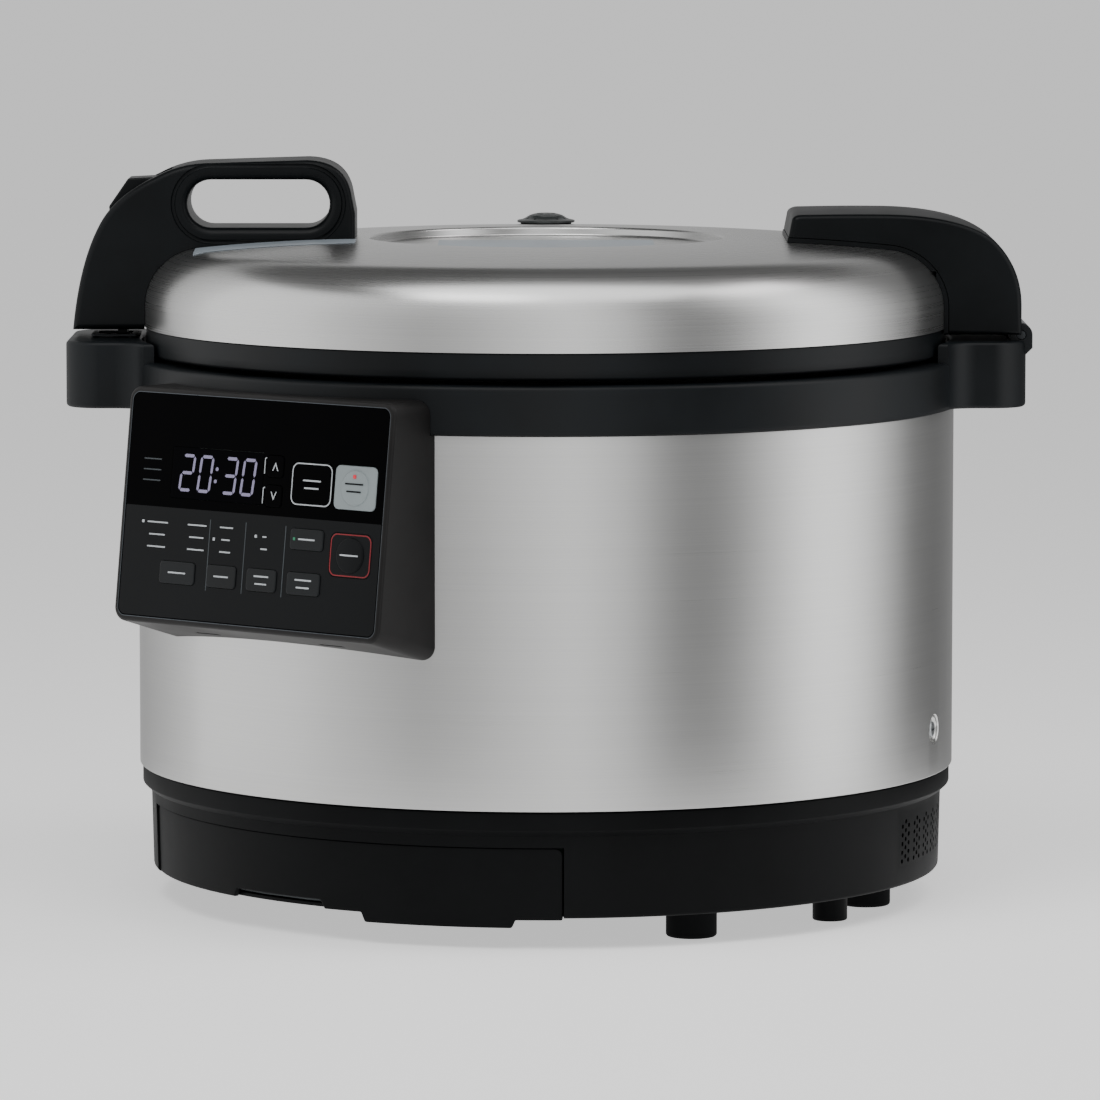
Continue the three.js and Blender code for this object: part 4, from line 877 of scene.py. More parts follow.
@dataclass
class Base:
    """The base's wall, floor, feet, air openings and power inlet."""

    shop: Workshop
    wall: float = 4.0
    band_height: float = 12.0
    inset: float = 6.0
    taper: float = 1.0
    cover_from: float = -78.35
    cover_to: float = 2.35
    notch_from: float = -50.7
    notch_to: float = -33.0
    lip_from: float = -27.0
    lip_to: float = -4.8
    grille_from: float = 61.5
    grille_to: float = 118.5
    hole: float = 1.3
    hole_pitch: float = 4.54
    grille_low: float = 10.5
    grille_high: float = 38.0
    stubs: tuple[float, ...] = (54.0, -133.2)
    stub_distance: float = 181.0
    feet: int = 5
    foot: float = 13.0

    def build(self) -> None:
        """Makes every piece of the base."""
        cad = self.shop.cad
        self.bottom = cad.low("base_wall")
        self.top = cad.high("base_wall")
        self.skin = cad.radius("outer_skin")
        self.outer = self.skin - self.inset
        self.band = self.top - self.band_height
        self.build_wall()
        self.build_cover()
        self.build_grille()
        self.build_floor()
        self.build_feet()
        self.build_inlet()
        self.shop.dress("air_filter", FILTER)

    def face_radius(self, height: float) -> float:
        """The wall's outer radius at a height."""
        share = (height - self.bottom) / (self.band - self.bottom)
        return self.outer - self.taper * (1 - share)

    def build_wall(self) -> None:
        """The tapered wall with the band that carries the skin."""
        band = self.skin - 1.5
        inner = self.outer - self.wall - 0.5
        outline = rounded(
            [
                (self.outer - self.taper, self.bottom, 1.8),
                (self.outer, self.band - 0.6, 0.2),
                (self.outer + 1.2, self.band - 0.6, 0.3),
                (band, self.band + 2.4, 1.0),
                (band, self.top, 1.2),
                (band - self.wall, self.top, 0.4),
                (band - self.wall, self.band + 5, 1.0),
                (inner, self.band, 1.0),
                (inner, self.bottom, 0.6),
            ],
            4,
        )
        inlet = self.shop.cad.middle("power_inlet")
        cover_top = self.shop.cad.high("filter_cover") + 0.3
        inside, outside = self.outer - 12, self.outer + 9
        low, high = self.grille_levels()
        window = rectangle(inside, self.bottom - 2, outside, cover_top)
        opening = rectangle(inside, low, outside, high)
        wall = carved(
            turned(outline, 180),
            [
                swept(window, self.cover_from - 0.15, self.cover_to + 0.15, 40),
                swept(opening, self.grille_from, self.grille_to, 30),
                rod(10.9, (0, inlet.y - 30, inlet.z), (0, inlet.y + 30, inlet.z)),
            ],
        )
        self.shop.add("base_shell", wall, BASE_BLACK, "cooker_body", "black_plastic", ["base_wall"])

    def grille_levels(self) -> tuple[float, float]:
        """The lower and upper level of the perforated window."""
        return self.bottom + self.grille_low, self.bottom + self.grille_high

    def build_cover(self) -> None:
        """The curved intake cover, with its finger notch and its lower lip."""
        radius = self.outer - 2
        lip = self.shop.cad.low("filter_cover")
        top = self.shop.cad.high("filter_cover")
        plain = self.bottom

        def at(azimuth: float) -> float:
            return math.radians(azimuth) * radius

        outline = rounded(
            [
                (at(self.cover_from), plain, 1.5),
                (at(self.notch_from), plain, 1.0),
                (at(self.notch_from + 0.7), lip + 9.5, 1.5),
                (at(self.notch_to - 0.7), lip + 9.5, 1.5),
                (at(self.notch_to), plain, 1.0),
                (at(self.lip_from), plain, 1.0),
                (at(self.lip_from + 0.6), lip, 1.5),
                (at(self.lip_to), lip, 1.5),
                (at(self.lip_to + 0.5), lip + 4, 1.0),
                (at(self.cover_to), lip + 4, 1.0),
                (at(self.cover_to), top, 4.0),
                (at(self.cover_from), top, 4.0),
            ],
            5,
        )
        sheet = slab(outline, -3, 0, 0.7, steps=3)
        cover = bent(sheet, lambda height: self.face_radius(height) - 1.2, radius)
        section = box_outline(24, 2.5, 0.8, (radius - 13, lip + 1.25), 3)
        tray = swept(section, self.lip_from + 0.8, self.lip_to - 0.3, 16)
        section = [
            (radius - 9, lip + 8, 1),
            (radius - 2, lip + 9.6, 1),
            (radius - 2, lip + 12, 1),
            (radius - 9, lip + 10.5, 1),
        ]
        pull = swept(rounded(section, 3), self.notch_from + 0.6, self.notch_to - 0.6, 12)
        whole = merged([cover, tray, pull])
        nodes = ["filter_cover"]
        self.shop.add("intake_cover", whole, BASE_BLACK, "intake", "black_plastic", nodes, weighted=True)

    def build_grille(self) -> None:
        """The air outlet: a sheet with a staggered field of round holes, in groups of three columns."""
        radius = self.outer
        low, high = self.grille_levels()
        start = math.radians(self.grille_from) * radius
        end = math.radians(self.grille_to) * radius
        column_pitch = self.hole_pitch * math.sqrt(3) / 2
        holes = []
        columns = int((end - start - 4) / column_pitch)
        for column in range(columns):
            if column % 4 == 3:
                continue
            x = start + 3 + column * column_pitch
            shift = self.hole_pitch / 2 if column % 2 else 0
            rows = int((high - low - 5 - shift) / self.hole_pitch) + 1
            for row in range(rows):
                y = low + 2.6 + shift + row * self.hole_pitch
                holes.append([(x + dx, y + dy) for dx, dy in arc((0, 0), self.hole, 0, 315, 7)])
        outline = rectangle(start, low, end, high)
        sheet = bent(slab(outline, -2.4, 0, 0, holes), self.face_radius, radius)
        nodes = ["exhaust_grille"]
        self.shop.add("outlet_grille", sheet, BASE_BLACK, "cooker_body", "black_plastic", nodes, sharp=25)

    def build_floor(self) -> None:
        """The floor with air slots, a stiffening ring and the two moulded stubs."""
        cad = self.shop.cad
        radius = self.outer - self.wall - 1.3
        low = self.bottom + 0.4
        slots = [box_outline(60, 5, 2.4, (0, 30 + 14 * row), 5) for row in range(5)]
        outline = arc((0, 0), radius, 0, 357.5, 143)
        floor = slab(outline, low, low + 2, 0.5, slots, steps=2)
        section = [(96, low - 1.5, 0.7), (100, low - 1.5, 0.7), (100, low + 1, 0.2), (96, low + 1, 0.2)]
        rib = turned(rounded(section, 3))
        stubs = []
        for azimuth in self.stubs:
            x, y = around(azimuth, self.stub_distance)
            base = cad.low("bottom_plate")
            outline = [(0, base), *arc((8, base + 1), 1, -90, 0, 4), (9, low + 1), (0, low + 1)]
            stubs.append(moved(turned(outline, 36, closed=False), Matrix.Translation((x, y, 0))))
        whole = merged([floor, rib, *stubs])
        nodes = ["bottom_plate"]
        self.shop.add("floor_plate", whole, BASE_BLACK, "cooker_body", "black_plastic", nodes, weighted=True)

    def build_feet(self) -> None:
        """The rubber feet, each with a screw recess."""
        cad = self.shop.cad
        for number in range(1, self.feet + 1):
            node = f"foot_{number}"
            middle, high = cad.middle(node), cad.high(node)
            outline = [
                (0, 2.4),
                *arc((3.6, 2.0), 0.4, 90, 0, 3),
                (4.0, 0.6),
                *arc((4.8, 0.0), 0.0, 0, 0, 1),
                (self.foot - 2.2, 0.0),
                *arc((self.foot - 1.6, 1.6), 1.6, -80, 0, 6),
                (self.foot, high - 0.2),
                (0, high - 0.2),
            ]
            shape = turned(outline, 48, closed=False)
            moved(shape, Matrix.Translation((middle.x, middle.y, 0)))
            self.shop.add(f"rubber_{node}", shape, RUBBER, "cooker_body", "black_rubber", [node])

    def build_inlet(self) -> None:
        """The power inlet's rubber gland, seen from behind."""
        cad = self.shop.cad
        low, high = cad.box("power_inlet")
        level = (low.z + high.z) / 2
        length = high.y - low.y
        outline = [
            (6.6, 6.0),
            (10.6, 6.0),
            (10.6, length - 3.2),
            *arc((13.1, length - 2.2), 1.0, -90, 0, 4),
            *arc((12.9, length - 1.2), 1.2, 0, 90, 4),
            (8.0, length),
            *arc((7.6, length - 0.8), 0.8, 90, 180, 3),
            (6.6, length - 2),
        ]
        shape = turned(outline, 48)
        turn = Matrix.Rotation(-math.pi / 2, 4, "X")
        moved(shape, Matrix.Translation((0, low.y, level)) @ turn)
        self.shop.add("power_gland", shape, RUBBER, "cooker_body", "black_rubber", ["power_inlet"])


# Casing: steel skin and upper ring with ears


@dataclass
class Casing:
    """The steel skin with its dimple, and the black ring with its two ears."""

    shop: Workshop
    skin_wall: float = 0.9
    dimple_azimuth: float = 70.0
    dimple_level: float = 95.0
    dimple_radius: float = 8.0
    dimple_depth: float = 2.2
    ring_height: float = 24.5
    ring_edge: float = 2.6
    ring_wall: float = 4.0
    seat: float = 184.0
    seat_depth: float = 6.3
    seat_hole: float = 165.0
    ear_rise: float = 10.2
    ear_half: float = 50.0
    ear_corner: float = 18.0
    ear_fillet: float = 11.0
    ear_edge: float = 2.2
    ear_wall: float = 4.0
    lid_space: float = 212.0
    knuckle: float = 6.0
    channel_half: float = 28.9
    lug_width: float = 8.5
    lug_middle: float = 33.15
    pin_half: float = 37.2

    def build(self) -> None:
        """Makes the skin, the ring, the ears, the lugs and the strike plate."""
        cad = self.shop.cad
        self.skin = cad.radius("outer_skin")
        self.ring = cad.radius("upper_ring")
        self.ring_low = cad.low("upper_ring")
        self.ring_top = self.ring_low + self.ring_height
        self.ear_top = self.ring_top + self.ear_rise
        self.ear_reach = -cad.box("upper_ring")[0].x
        self.pivot = cad.pivot("lid_hinge")
        self.build_skin()
        self.build_ring()
        self.build_ears()
        self.build_strike()

    def build_skin(self) -> None:
        """The skin with hemmed rims, and the dimple with its screw."""
        cad = self.shop.cad
        low, high = cad.low("outer_skin"), cad.high("outer_skin")
        outline = rounded(
            [
                (self.skin, low, 0.8),
                (self.skin, high, 0.5),
                (self.skin - self.skin_wall, high, 0.3),
                (self.skin - self.skin_wall, low, 0.3),
            ],
            4,
        )
        level = self.dimple_level
        hole = rod(self.dimple_radius, (0, -self.skin - 5, level), (0, -self.skin + 5, level), steps=64)
        moved(hole, Matrix.Rotation(math.radians(self.dimple_azimuth), 4, "Z"))
        shape = carved(turned(outline, 240), [hole])
        nodes = ["outer_skin"]
        self.shop.add("steel_skin", shape, SKIN_STEEL, "cooker_body", "brushed_skin", nodes, sharp=40)
        rim = self.dimple_radius + 0.2
        dish = turned(
            [
                (0, -self.dimple_depth),
                (rim - 3.5, -self.dimple_depth),
                *arc((rim - 3.5, -self.dimple_depth + 2.0), 2.0, -80, -20, 6),
                *arc((rim + 0.1, -0.9), 0.9, 165, 95, 6),
                (rim + 0.1, -0.9),
                (rim - 1.2, -1.9),
                (rim - 3.4, -self.dimple_depth - 0.7),
                (0, -self.dimple_depth - 0.7),
            ],
            64,
            closed=False,
        )
        out = self.outward(self.dimple_azimuth, self.skin - 0.1, self.dimple_level)
        self.shop.add("skin_dimple", dish, BRIGHT, "cooker_body", "brushed_skin", place=out)
        head = turned(
            [
                (0, 0),
                (4.2, 0),
                (4.2, 0.6),
                *arc((3.2, 0.6), 1.0, 0, 80, 5),
                (0, 1.75),
            ],
            40,
            closed=False,
        )
        across = block((-2.6, -0.45, 0.7), (2.6, 0.45, 3))
        along = block((-0.45, -2.6, 0.7), (0.45, 2.6, 3))
        screw = carved(carved(head, [across]), [along])
        seat = self.outward(self.dimple_azimuth, self.skin - self.dimple_depth - 0.05, self.dimple_level)
        self.shop.add("dimple_screw", screw, ZINC, "cooker_body", "zinc_steel", ["skin_screw"], place=seat)

    def outward(self, azimuth: float, distance: float, level: float) -> Matrix:
        """The place at an azimuth where z points away from the pot's axis."""
        x, y = around(azimuth, distance)
        turn = Matrix.Rotation(math.radians(azimuth), 4, "Z") @ Matrix.Rotation(math.pi / 2, 4, "X")
        return Matrix.Translation((x, y, level)) @ turn

    def build_ring(self) -> None:
        """The ring with the pot's seat inside it."""
        deck = self.ring_top - self.seat_depth
        inner, seat = self.seat_hole, self.seat
        outline = rounded(
            [
                (self.ring - 0.4, self.ring_low, 0.5),
                (self.ring, self.ring_low + 2, 1.0),
                (self.ring, self.ring_top, self.ring_edge),
                (seat + 3, self.ring_top, 2.0),
                (seat, deck, 2.0),
                (inner, deck, 1.2),
                (inner, deck - 3, 0.8),
                (seat + 3, deck - 3, 0.5),
                (seat + 3, self.ring_top - 3, 0.5),
                (self.ring - self.ring_wall, self.ring_top - 3, 1.0),
                (self.ring - self.ring_wall, self.ring_low, 0.5),
            ],
            5,
        )
        shape = turned(outline, 220)
        self.shop.add("ring_body", shape, BLACK, "cooker_body", "black_plastic", ["upper_ring"])

    def ear_outline(self, inset: float = 0.0) -> list[Point]:
        """An ear's plan, pointing along +X."""
        half = self.ear_half - inset
        reach = self.ear_reach - inset
        outer = self.ring - 0.3
        wide = half + self.ear_fillet
        root = math.sqrt(outer**2 - wide**2)
        angle = math.degrees(math.asin(wide / self.lid_space))
        inside = arc((0, 0), self.lid_space, angle, -angle, 24)
        near = [(root, -wide)]
        near += curve(near[0], (root + 4.5, -half), (root + 5 + self.ear_fillet, -half), 8)
        corner = arc((reach - self.ear_corner, -half + self.ear_corner), self.ear_corner, -90, 0, 12)
        first = [*near, *corner]
        second = [(x, -y) for x, y in reversed(first)]
        return [*first, *second, *inside]

    def ear(self) -> Mesh:
        """One ear along +X, hollow below for the fingers."""
        body = slab(self.ear_outline(), self.ring_low, self.ear_top, self.ear_edge, steps=5)
        reach = self.ear_reach - self.ear_wall
        half = self.ear_half - self.ear_wall
        near = self.ring - 0.6
        grip_top = self.ring_low + 25
        grip = slab(
            rounded([(near, -half, 6), (reach, -half, 14), (reach, half, 14), (near, half, 6)], 8),
            self.ring_low - 6,
            grip_top,
            3.0,
        )
        return carved(body, [grip])

    def build_ears(self) -> None:
        """Both ears: the left one with the latch pocket, the right one with the hinge lugs."""
        pivot = self.pivot
        half = self.channel_half
        channel = rod(self.knuckle + 0.8, (pivot.x, -half, pivot.z), (pivot.x, half, pivot.z))
        right = carved(self.ear(), [channel])
        self.shop.add("ear_right", right, BLACK, "cooker_body", "black_plastic", weighted=True)
        strike = self.shop.cad.middle("strike_plate")
        pocket = block((strike.x - 9.5, -10, self.ear_top - 8), (strike.x + 9.5, 10, self.ear_top + 5), 0.8)
        left = carved(moved(self.ear(), Matrix.Rotation(math.pi, 4, "Z")), [pocket])
        self.shop.add("ear_left", left, BLACK, "cooker_body", "black_plastic", weighted=True)
        for number, side in enumerate((-1, 1), 1):
            outline = [
                (pivot.x - self.knuckle, self.ear_top - 6),
                (self.ear_reach - 2, self.ear_top - 9),
                (pivot.x + self.knuckle, self.ear_top - 4),
                *arc((pivot.x, pivot.z), self.knuckle, 0, 180, 16),
            ]
            bore = arc((pivot.x, pivot.z), 2.6, 0, 345, 23)
            lug = upright(slab(outline, 0, self.lug_width, 0.6, [bore], 0.3, steps=3), self.lug_width)
            moved(lug, Matrix.Translation((0, side * self.lug_middle, 0)))
            self.shop.add(f"hinge_lug_{number}", lug, BLACK, "cooker_body", "black_plastic", weighted=True)
        half = self.pin_half
        pin = rod(2.5, (pivot.x, -half, pivot.z), (pivot.x, half, pivot.z), 0.5, 32)
        self.shop.add("pin_of_hinge", pin, DARK_STEEL, "cooker_body", "zinc_steel", ["hinge_pin"])

    def build_strike(self) -> None:
        """The small plated strike on the left ear."""
        low, high = self.shop.cad.box("strike_plate")
        middle = ((low.x + high.x) / 2, 0)
        outline = box_outline(high.x - low.x, high.y - low.y, 2.0, middle)
        slot_hole = box_outline(18, 19, 1.5, (middle[0] - 0.5, 0))
        shape = slab(outline, low.z, high.z, 0.4, [slot_hole])
        nodes = ["strike_plate"]
        self.shop.add("latch_strike", shape, DARK_STEEL, "cooker_body", "zinc_steel", nodes, weighted=True)


# Pot and what lies round it


@dataclass
class Inside:
    """The pot, the well round it, the heater and the electrics."""

    shop: Workshop
    pot_wall: float = 2.5
    pot_corner: float = 40.0
    pot_flange: float = 16.5
    level_lines: int = 5
    first_line: float = 60.0
    line_pitch: float = 24.0

    def build(self) -> None:
        """Makes the pot and dresses what stays out of sight."""
        self.build_pot()
        self.build_well()
        for node in ("coil_inner", "coil_outer"):
            self.shop.dress(node, COPPER)
        for node in ("main_board", "control_board"):
            self.shop.dress(node, BOARD)
        for node in ("fan_frame", "fan_rotor"):
            self.shop.dress(node, BLACK)
        self.shop.dress("ferrite_star", FERRITE)
        self.shop.dress("pot_sensor", ALUMINIUM)
        self.shop.dress("heat_sink", ALUMINIUM)
        self.shop.dress("sensor_spring", ZINC)
        self.shop.dress("coil_bowl", HEAT_PROOF)

    def build_pot(self) -> None:
        """The pot with a rolled flange and a row of pressed level lines."""
        cad = self.shop.cad
        low, high = cad.low("inner_pot"), cad.high("inner_pot")
        flange = cad.radius("inner_pot")
        outer = flange - self.pot_flange
        centre = (outer - self.pot_corner, low + self.pot_corner)
        inner_rim = outer - self.pot_wall
        outline = [
            (0, low),
            *arc(centre, self.pot_corner, -90, 0, 16),
            (outer, high - self.pot_wall),
            *arc((flange - 1.25, high - 1.25), 1.25, -90, 90, 8),
            *arc((inner_rim + 3, high - 3), 3, 90, 180, 6),
        ]
        for line in reversed(range(self.level_lines)):
            level = low + self.first_line + self.line_pitch * line
            outline += [(inner_rim, level + 0.8), (inner_rim - 0.5, level + 0.3)]
            outline += [(inner_rim - 0.5, level - 0.3), (inner_rim, level - 0.8)]
        outline += [*arc(centre, self.pot_corner - self.pot_wall, 0, -90, 16), (0, low + self.pot_wall)]
        shape = turned(outline, 160, closed=False)
        self.shop.add("rice_pot", shape, POT_STEEL, "cooker_body", "polished_pot", ["inner_pot"])

    def build_well(self) -> None:
        """The metal wall round the pot."""
        cad = self.shop.cad
        low, high, radius = cad.low("pot_well"), cad.high("pot_well"), cad.radius("pot_well")
        wall = turned(box_outline(1.5, high - low, 0.4, (radius - 0.75, (low + high) / 2), 3), 120)
        self.shop.add("well_wall", wall, ZINC, "cooker_body", "zinc_steel", ["pot_well"])


# Lid


@dataclass
class Lid:
    """The dome, its rim, what lines it, and the steam vent."""

    shop: Workshop
    side: float = 11.0
    shoulder: float = 30.4
    shoulder_from: float = 83.0
    recess: float = 94.5
    recess_depth: float = 5.0
    wall: float = 1.0
    rim_from: float = 188.0
    vent_slits: int = 12
    cutter_depth: float = 60.0
    label_thickness: float = 0.3

    def build(self) -> None:
        """Makes every piece of the lid, apart from the handle and the hinge arm."""
        cad = self.shop.cad
        self.low, self.high = cad.low("lid_dome"), cad.high("lid_dome")
        self.radius = cad.radius("lid_dome")
        low, high = cad.box("vent_seat")
        self.vent_radius = (high.x - low.x) / 2
        self.vent_at = (low + high) / 2
        self.build_dome()
        self.build_rim()
        self.build_lining()
        self.build_vent()
        self.build_label()

    def outline(self, offset: float = 0.0) -> list[Point]:
        """The dome from the recess's rim down to its lower edge, moved out by an offset."""
        centre = (self.radius - self.shoulder, self.low + self.side)
        start = arc(centre, self.shoulder, self.shoulder_from, 0, 1)[0]
        drop = self.high - start[1]
        crown = []
        for i in range(14):
            share = i / 14
            x = self.recess + (start[0] - self.recess) * share
            crown.append((x, self.high - drop * share**2 + offset))
        shoulder = arc(centre, self.shoulder + offset, self.shoulder_from, 0, 18)
        return [*crown, *shoulder, (self.radius + offset, self.low)]

    def height(self, distance: float) -> float:
        """The level of the dome's outer face at a distance from the axis."""
        points = self.outline()
        for (x0, z0), (x1, z1) in zip(points, points[1:]):
            if x0 <= distance <= x1 and x1 > x0:
                return z0 + (z1 - z0) * (distance - x0) / (x1 - x0)
        return self.high if distance < points[0][0] else self.low

    def vent_rod(self, radius: float) -> Mesh:
        """An upright rod through the lid round the vent's axis."""
        x, y, _ = self.vent_at
        return rod(radius, (x, y, self.low - self.cutter_depth), (x, y, self.high + 5), steps=64)

    def at_vent(self, shape: Mesh) -> Mesh:
        """Moves a shape from the pot's axis to the vent's."""
        return moved(shape, Matrix.Translation((self.vent_at.x, self.vent_at.y, 0)))

    def under(self, offset: float) -> Mesh:
        """Everything under the dome's outer face, moved out by an offset."""
        outline = [(0, self.high + offset), *self.outline(offset)]
        bottom = self.low - self.cutter_depth
        outline += [(self.radius + offset, bottom), (0, bottom)]
        return turned(outline, 200, closed=False)

    def build_dome(self) -> None:
        """The pressed steel dome with its sunken round panel."""
        floor = self.high - self.recess_depth
        edge = self.recess
        inner = [(x, z) for x, z in self.outline(-self.wall)]
        well = [
            (0, floor),
            (edge - 3.8, floor),
            *arc((edge - 3.6, floor + 1.6), 1.6, -85, -15, 6),
            *arc((edge - 0.2, self.high - 1.7), 1.7, 165, 96, 8),
        ]
        below = [(x + 0.5, z - self.wall) for x, z in well]
        hem = [(self.radius - self.wall, self.low)]
        outline = [*well, *self.outline(), *hem, *reversed(inner[1:-1]), *reversed(below)]
        shape = carved(turned(outline, 240, closed=False), [self.vent_rod(self.vent_radius + 0.3)])
        self.shop.add("steel_dome", shape, DOME_STEEL, "lid", "brushed_skin", ["lid_dome"], sharp=50)

    def build_rim(self) -> None:
        """The black rim under the dome."""
        cad = self.shop.cad
        low, high, radius = cad.low("lid_ring"), cad.high("lid_ring"), cad.radius("lid_ring")
        flange = self.rim_from
        outline = rounded(
            [
                (flange, low, 0.8),
                (radius - 0.6, low, 2.0),
                (radius, low + 5, 3.0),
                (radius, high, 0.6),
                (radius - 3, high, 0.5),
                (radius - 3, low + 2.5, 0.8),
                (flange, low + 2.5, 0.5),
            ],
            5,
        )
        shape = turned(outline, 220)
        self.shop.add("rim_of_lid", shape, BLACK, "lid", "black_plastic", ["lid_ring"])

    def build_lining(self) -> None:
        """The liner, the removable inner lid and its seal, seen when the lid is up."""
        cad = self.shop.cad
        low, high = cad.low("lid_liner"), cad.high("lid_liner")
        outline = rounded(
            [
                (0, high, 0),
                (184, high, 1),
                (203, low + 5.3, 0.5),
                (203, low + 2.8, 0.5),
                (187.6, low + 2.8, 0.5),
                (187.6, low, 1.0),
                (181, low, 1.5),
                (176.6, low + 5.2, 1.5),
                (176.6, high - 2.5, 1.0),
                (0, high - 2.5, 0),
            ],
            4,
        )
        shape = carved(turned(seal_free(outline), 180, closed=False), [self.vent_rod(12)])
        self.shop.add("liner_of_lid", shape, HEAT_PROOF, "lid", "heat_proof_plastic", ["lid_liner"])
        low = cad.low("inner_lid")
        plate = [
            (0, low),
            *arc((120, low + 0.8), 0.8, -90, -60, 2),
            (124, low + 1.1),
            *arc((128, low + 0.8), 0.8, -120, -90, 2),
            (160, low),
            (163, low + 2.2),
            (171.8, low + 2.2),
            (171.8, low + 3.1),
            (162.6, low + 3.1),
            (159.6, low + 0.9),
            (0, low + 0.9),
        ]
        plate_shape = carved(turned(plate, 160, closed=False), [self.vent_rod(9)])
        self.shop.add("inner_lid_plate", plate_shape, LINING_STEEL, "lid", "bare_aluminium", ["inner_lid"])
        low, high = cad.low("lid_gasket"), cad.high("lid_gasket")
        outer = cad.radius("lid_gasket")
        seal = rounded(
            [
                (outer - 10, high, 0.5),
                (outer, high, 0.8),
                (outer, high - 3, 1.2),
                (outer - 2.6, low, 1.0),
                (outer - 5, low, 1.0),
                (outer - 5.5, high - 2.6, 1.5),
                (outer - 10, high - 2.1, 0.8),
            ],
            4,
        )
        self.shop.add("seal_of_lid", turned(seal, 160), SILICONE, "lid", "silicone", ["lid_gasket"])

    def build_vent(self) -> None:
        """The vent's seat and its low domed cap with side openings."""
        cad = self.shop.cad
        low, high, radius = cad.low("vent_seat"), cad.high("vent_seat"), self.vent_radius
        step = cad.high("lid_liner") + 1
        corners = [
            (9, low, 0.4),
            (11, low, 0.4),
            (11, step, 0.5),
            (radius, step + radius - 11, 0.5),
            (radius, high, 0.5),
            (9, high, 0.5),
        ]
        seat = self.at_vent(turned(seal_free(rounded(corners, 4)), 64))
        self.shop.add("seat_of_vent", seat, LID_BLACK, "lid", "black_plastic", ["vent_seat"])
        low, high = cad.low("vent_cap"), cad.high("vent_cap")
        base = low + 9
        cap = [
            (0, low),
            *arc((7.2, low + 0.8), 0.8, -90, 0, 4),
            (8, base),
            *arc((15.0, base + 0.7), 0.7, -90, 70, 6),
            *curve((14.6, base + 1.5), (11.6, base + 1.9), (9.8, high - 1.7), 6),
            (9.3, high - 1.7),
            (9.0, high - 1.25),
            *curve((8.6, high - 1.2), (7.6, high - 0.7), (6.4, high - 0.5), 4),
            (6.0, high - 0.75),
            (5.4, high - 0.7),
            (5.1, high - 0.2),
            *curve((4.6, high - 0.12), (2.4, high), (0, high), 4),
        ]
        body = turned(seal_free(cap), 96, closed=False)
        slits = []
        for index in range(self.vent_slits):
            slit = block((10.6, -0.7, base + 1.9), (16, 0.7, high - 1.9), 0.2, 2)
            slits.append(moved(slit, Matrix.Rotation(FULL_TURN * index / self.vent_slits, 4, "Z")))
        shape = self.at_vent(carved(body, [merged(slits)]))
        self.shop.add("cap_of_vent", shape, VENT_GREY, "vent", "black_plastic", ["vent_cap"])

    def build_label(self) -> None:
        """Two blank labels: one on the recess's floor, one on the dome along the handle's foot."""
        floor = self.high - self.recess_depth
        top = floor + self.label_thickness
        plate = slab(box_outline(114, 64, 2.0, (0, 18)), floor + 0.02, top, 0.1, steps=2)
        self.shop.add("recess_label", plate, LABEL, "lid", "brushed_skin", weighted=True)
        sheet = slab(box_outline(84, 30, 1.5, (-141, -42)), 0, self.label_thickness, 0.1, steps=2)
        cuts = [((-185 + 3 * i, 0, 0), (1, 0, 0)) for i in range(29)]
        cuts += [((0, -57 + 3 * i, 0), (0, 1, 0)) for i in range(11)]
        for place, across in cuts:
            split(sheet, place, across)
        for vert in sheet.verts:
            vert.co.z += self.height(math.hypot(vert.co.x, vert.co.y)) + 0.12
        self.shop.add("dome_label", sheet, LABEL, "lid", "brushed_skin", weighted=True)


def seal_free(outline: list[Point]) -> list[Point]:
    """An outline without points that lie on one another."""
    kept = [outline[0]]
    for point in outline[1:]:
        if math.dist(point, kept[-1]) > 1e-3:
            kept.append(point)
    return kept


# Handle and latch


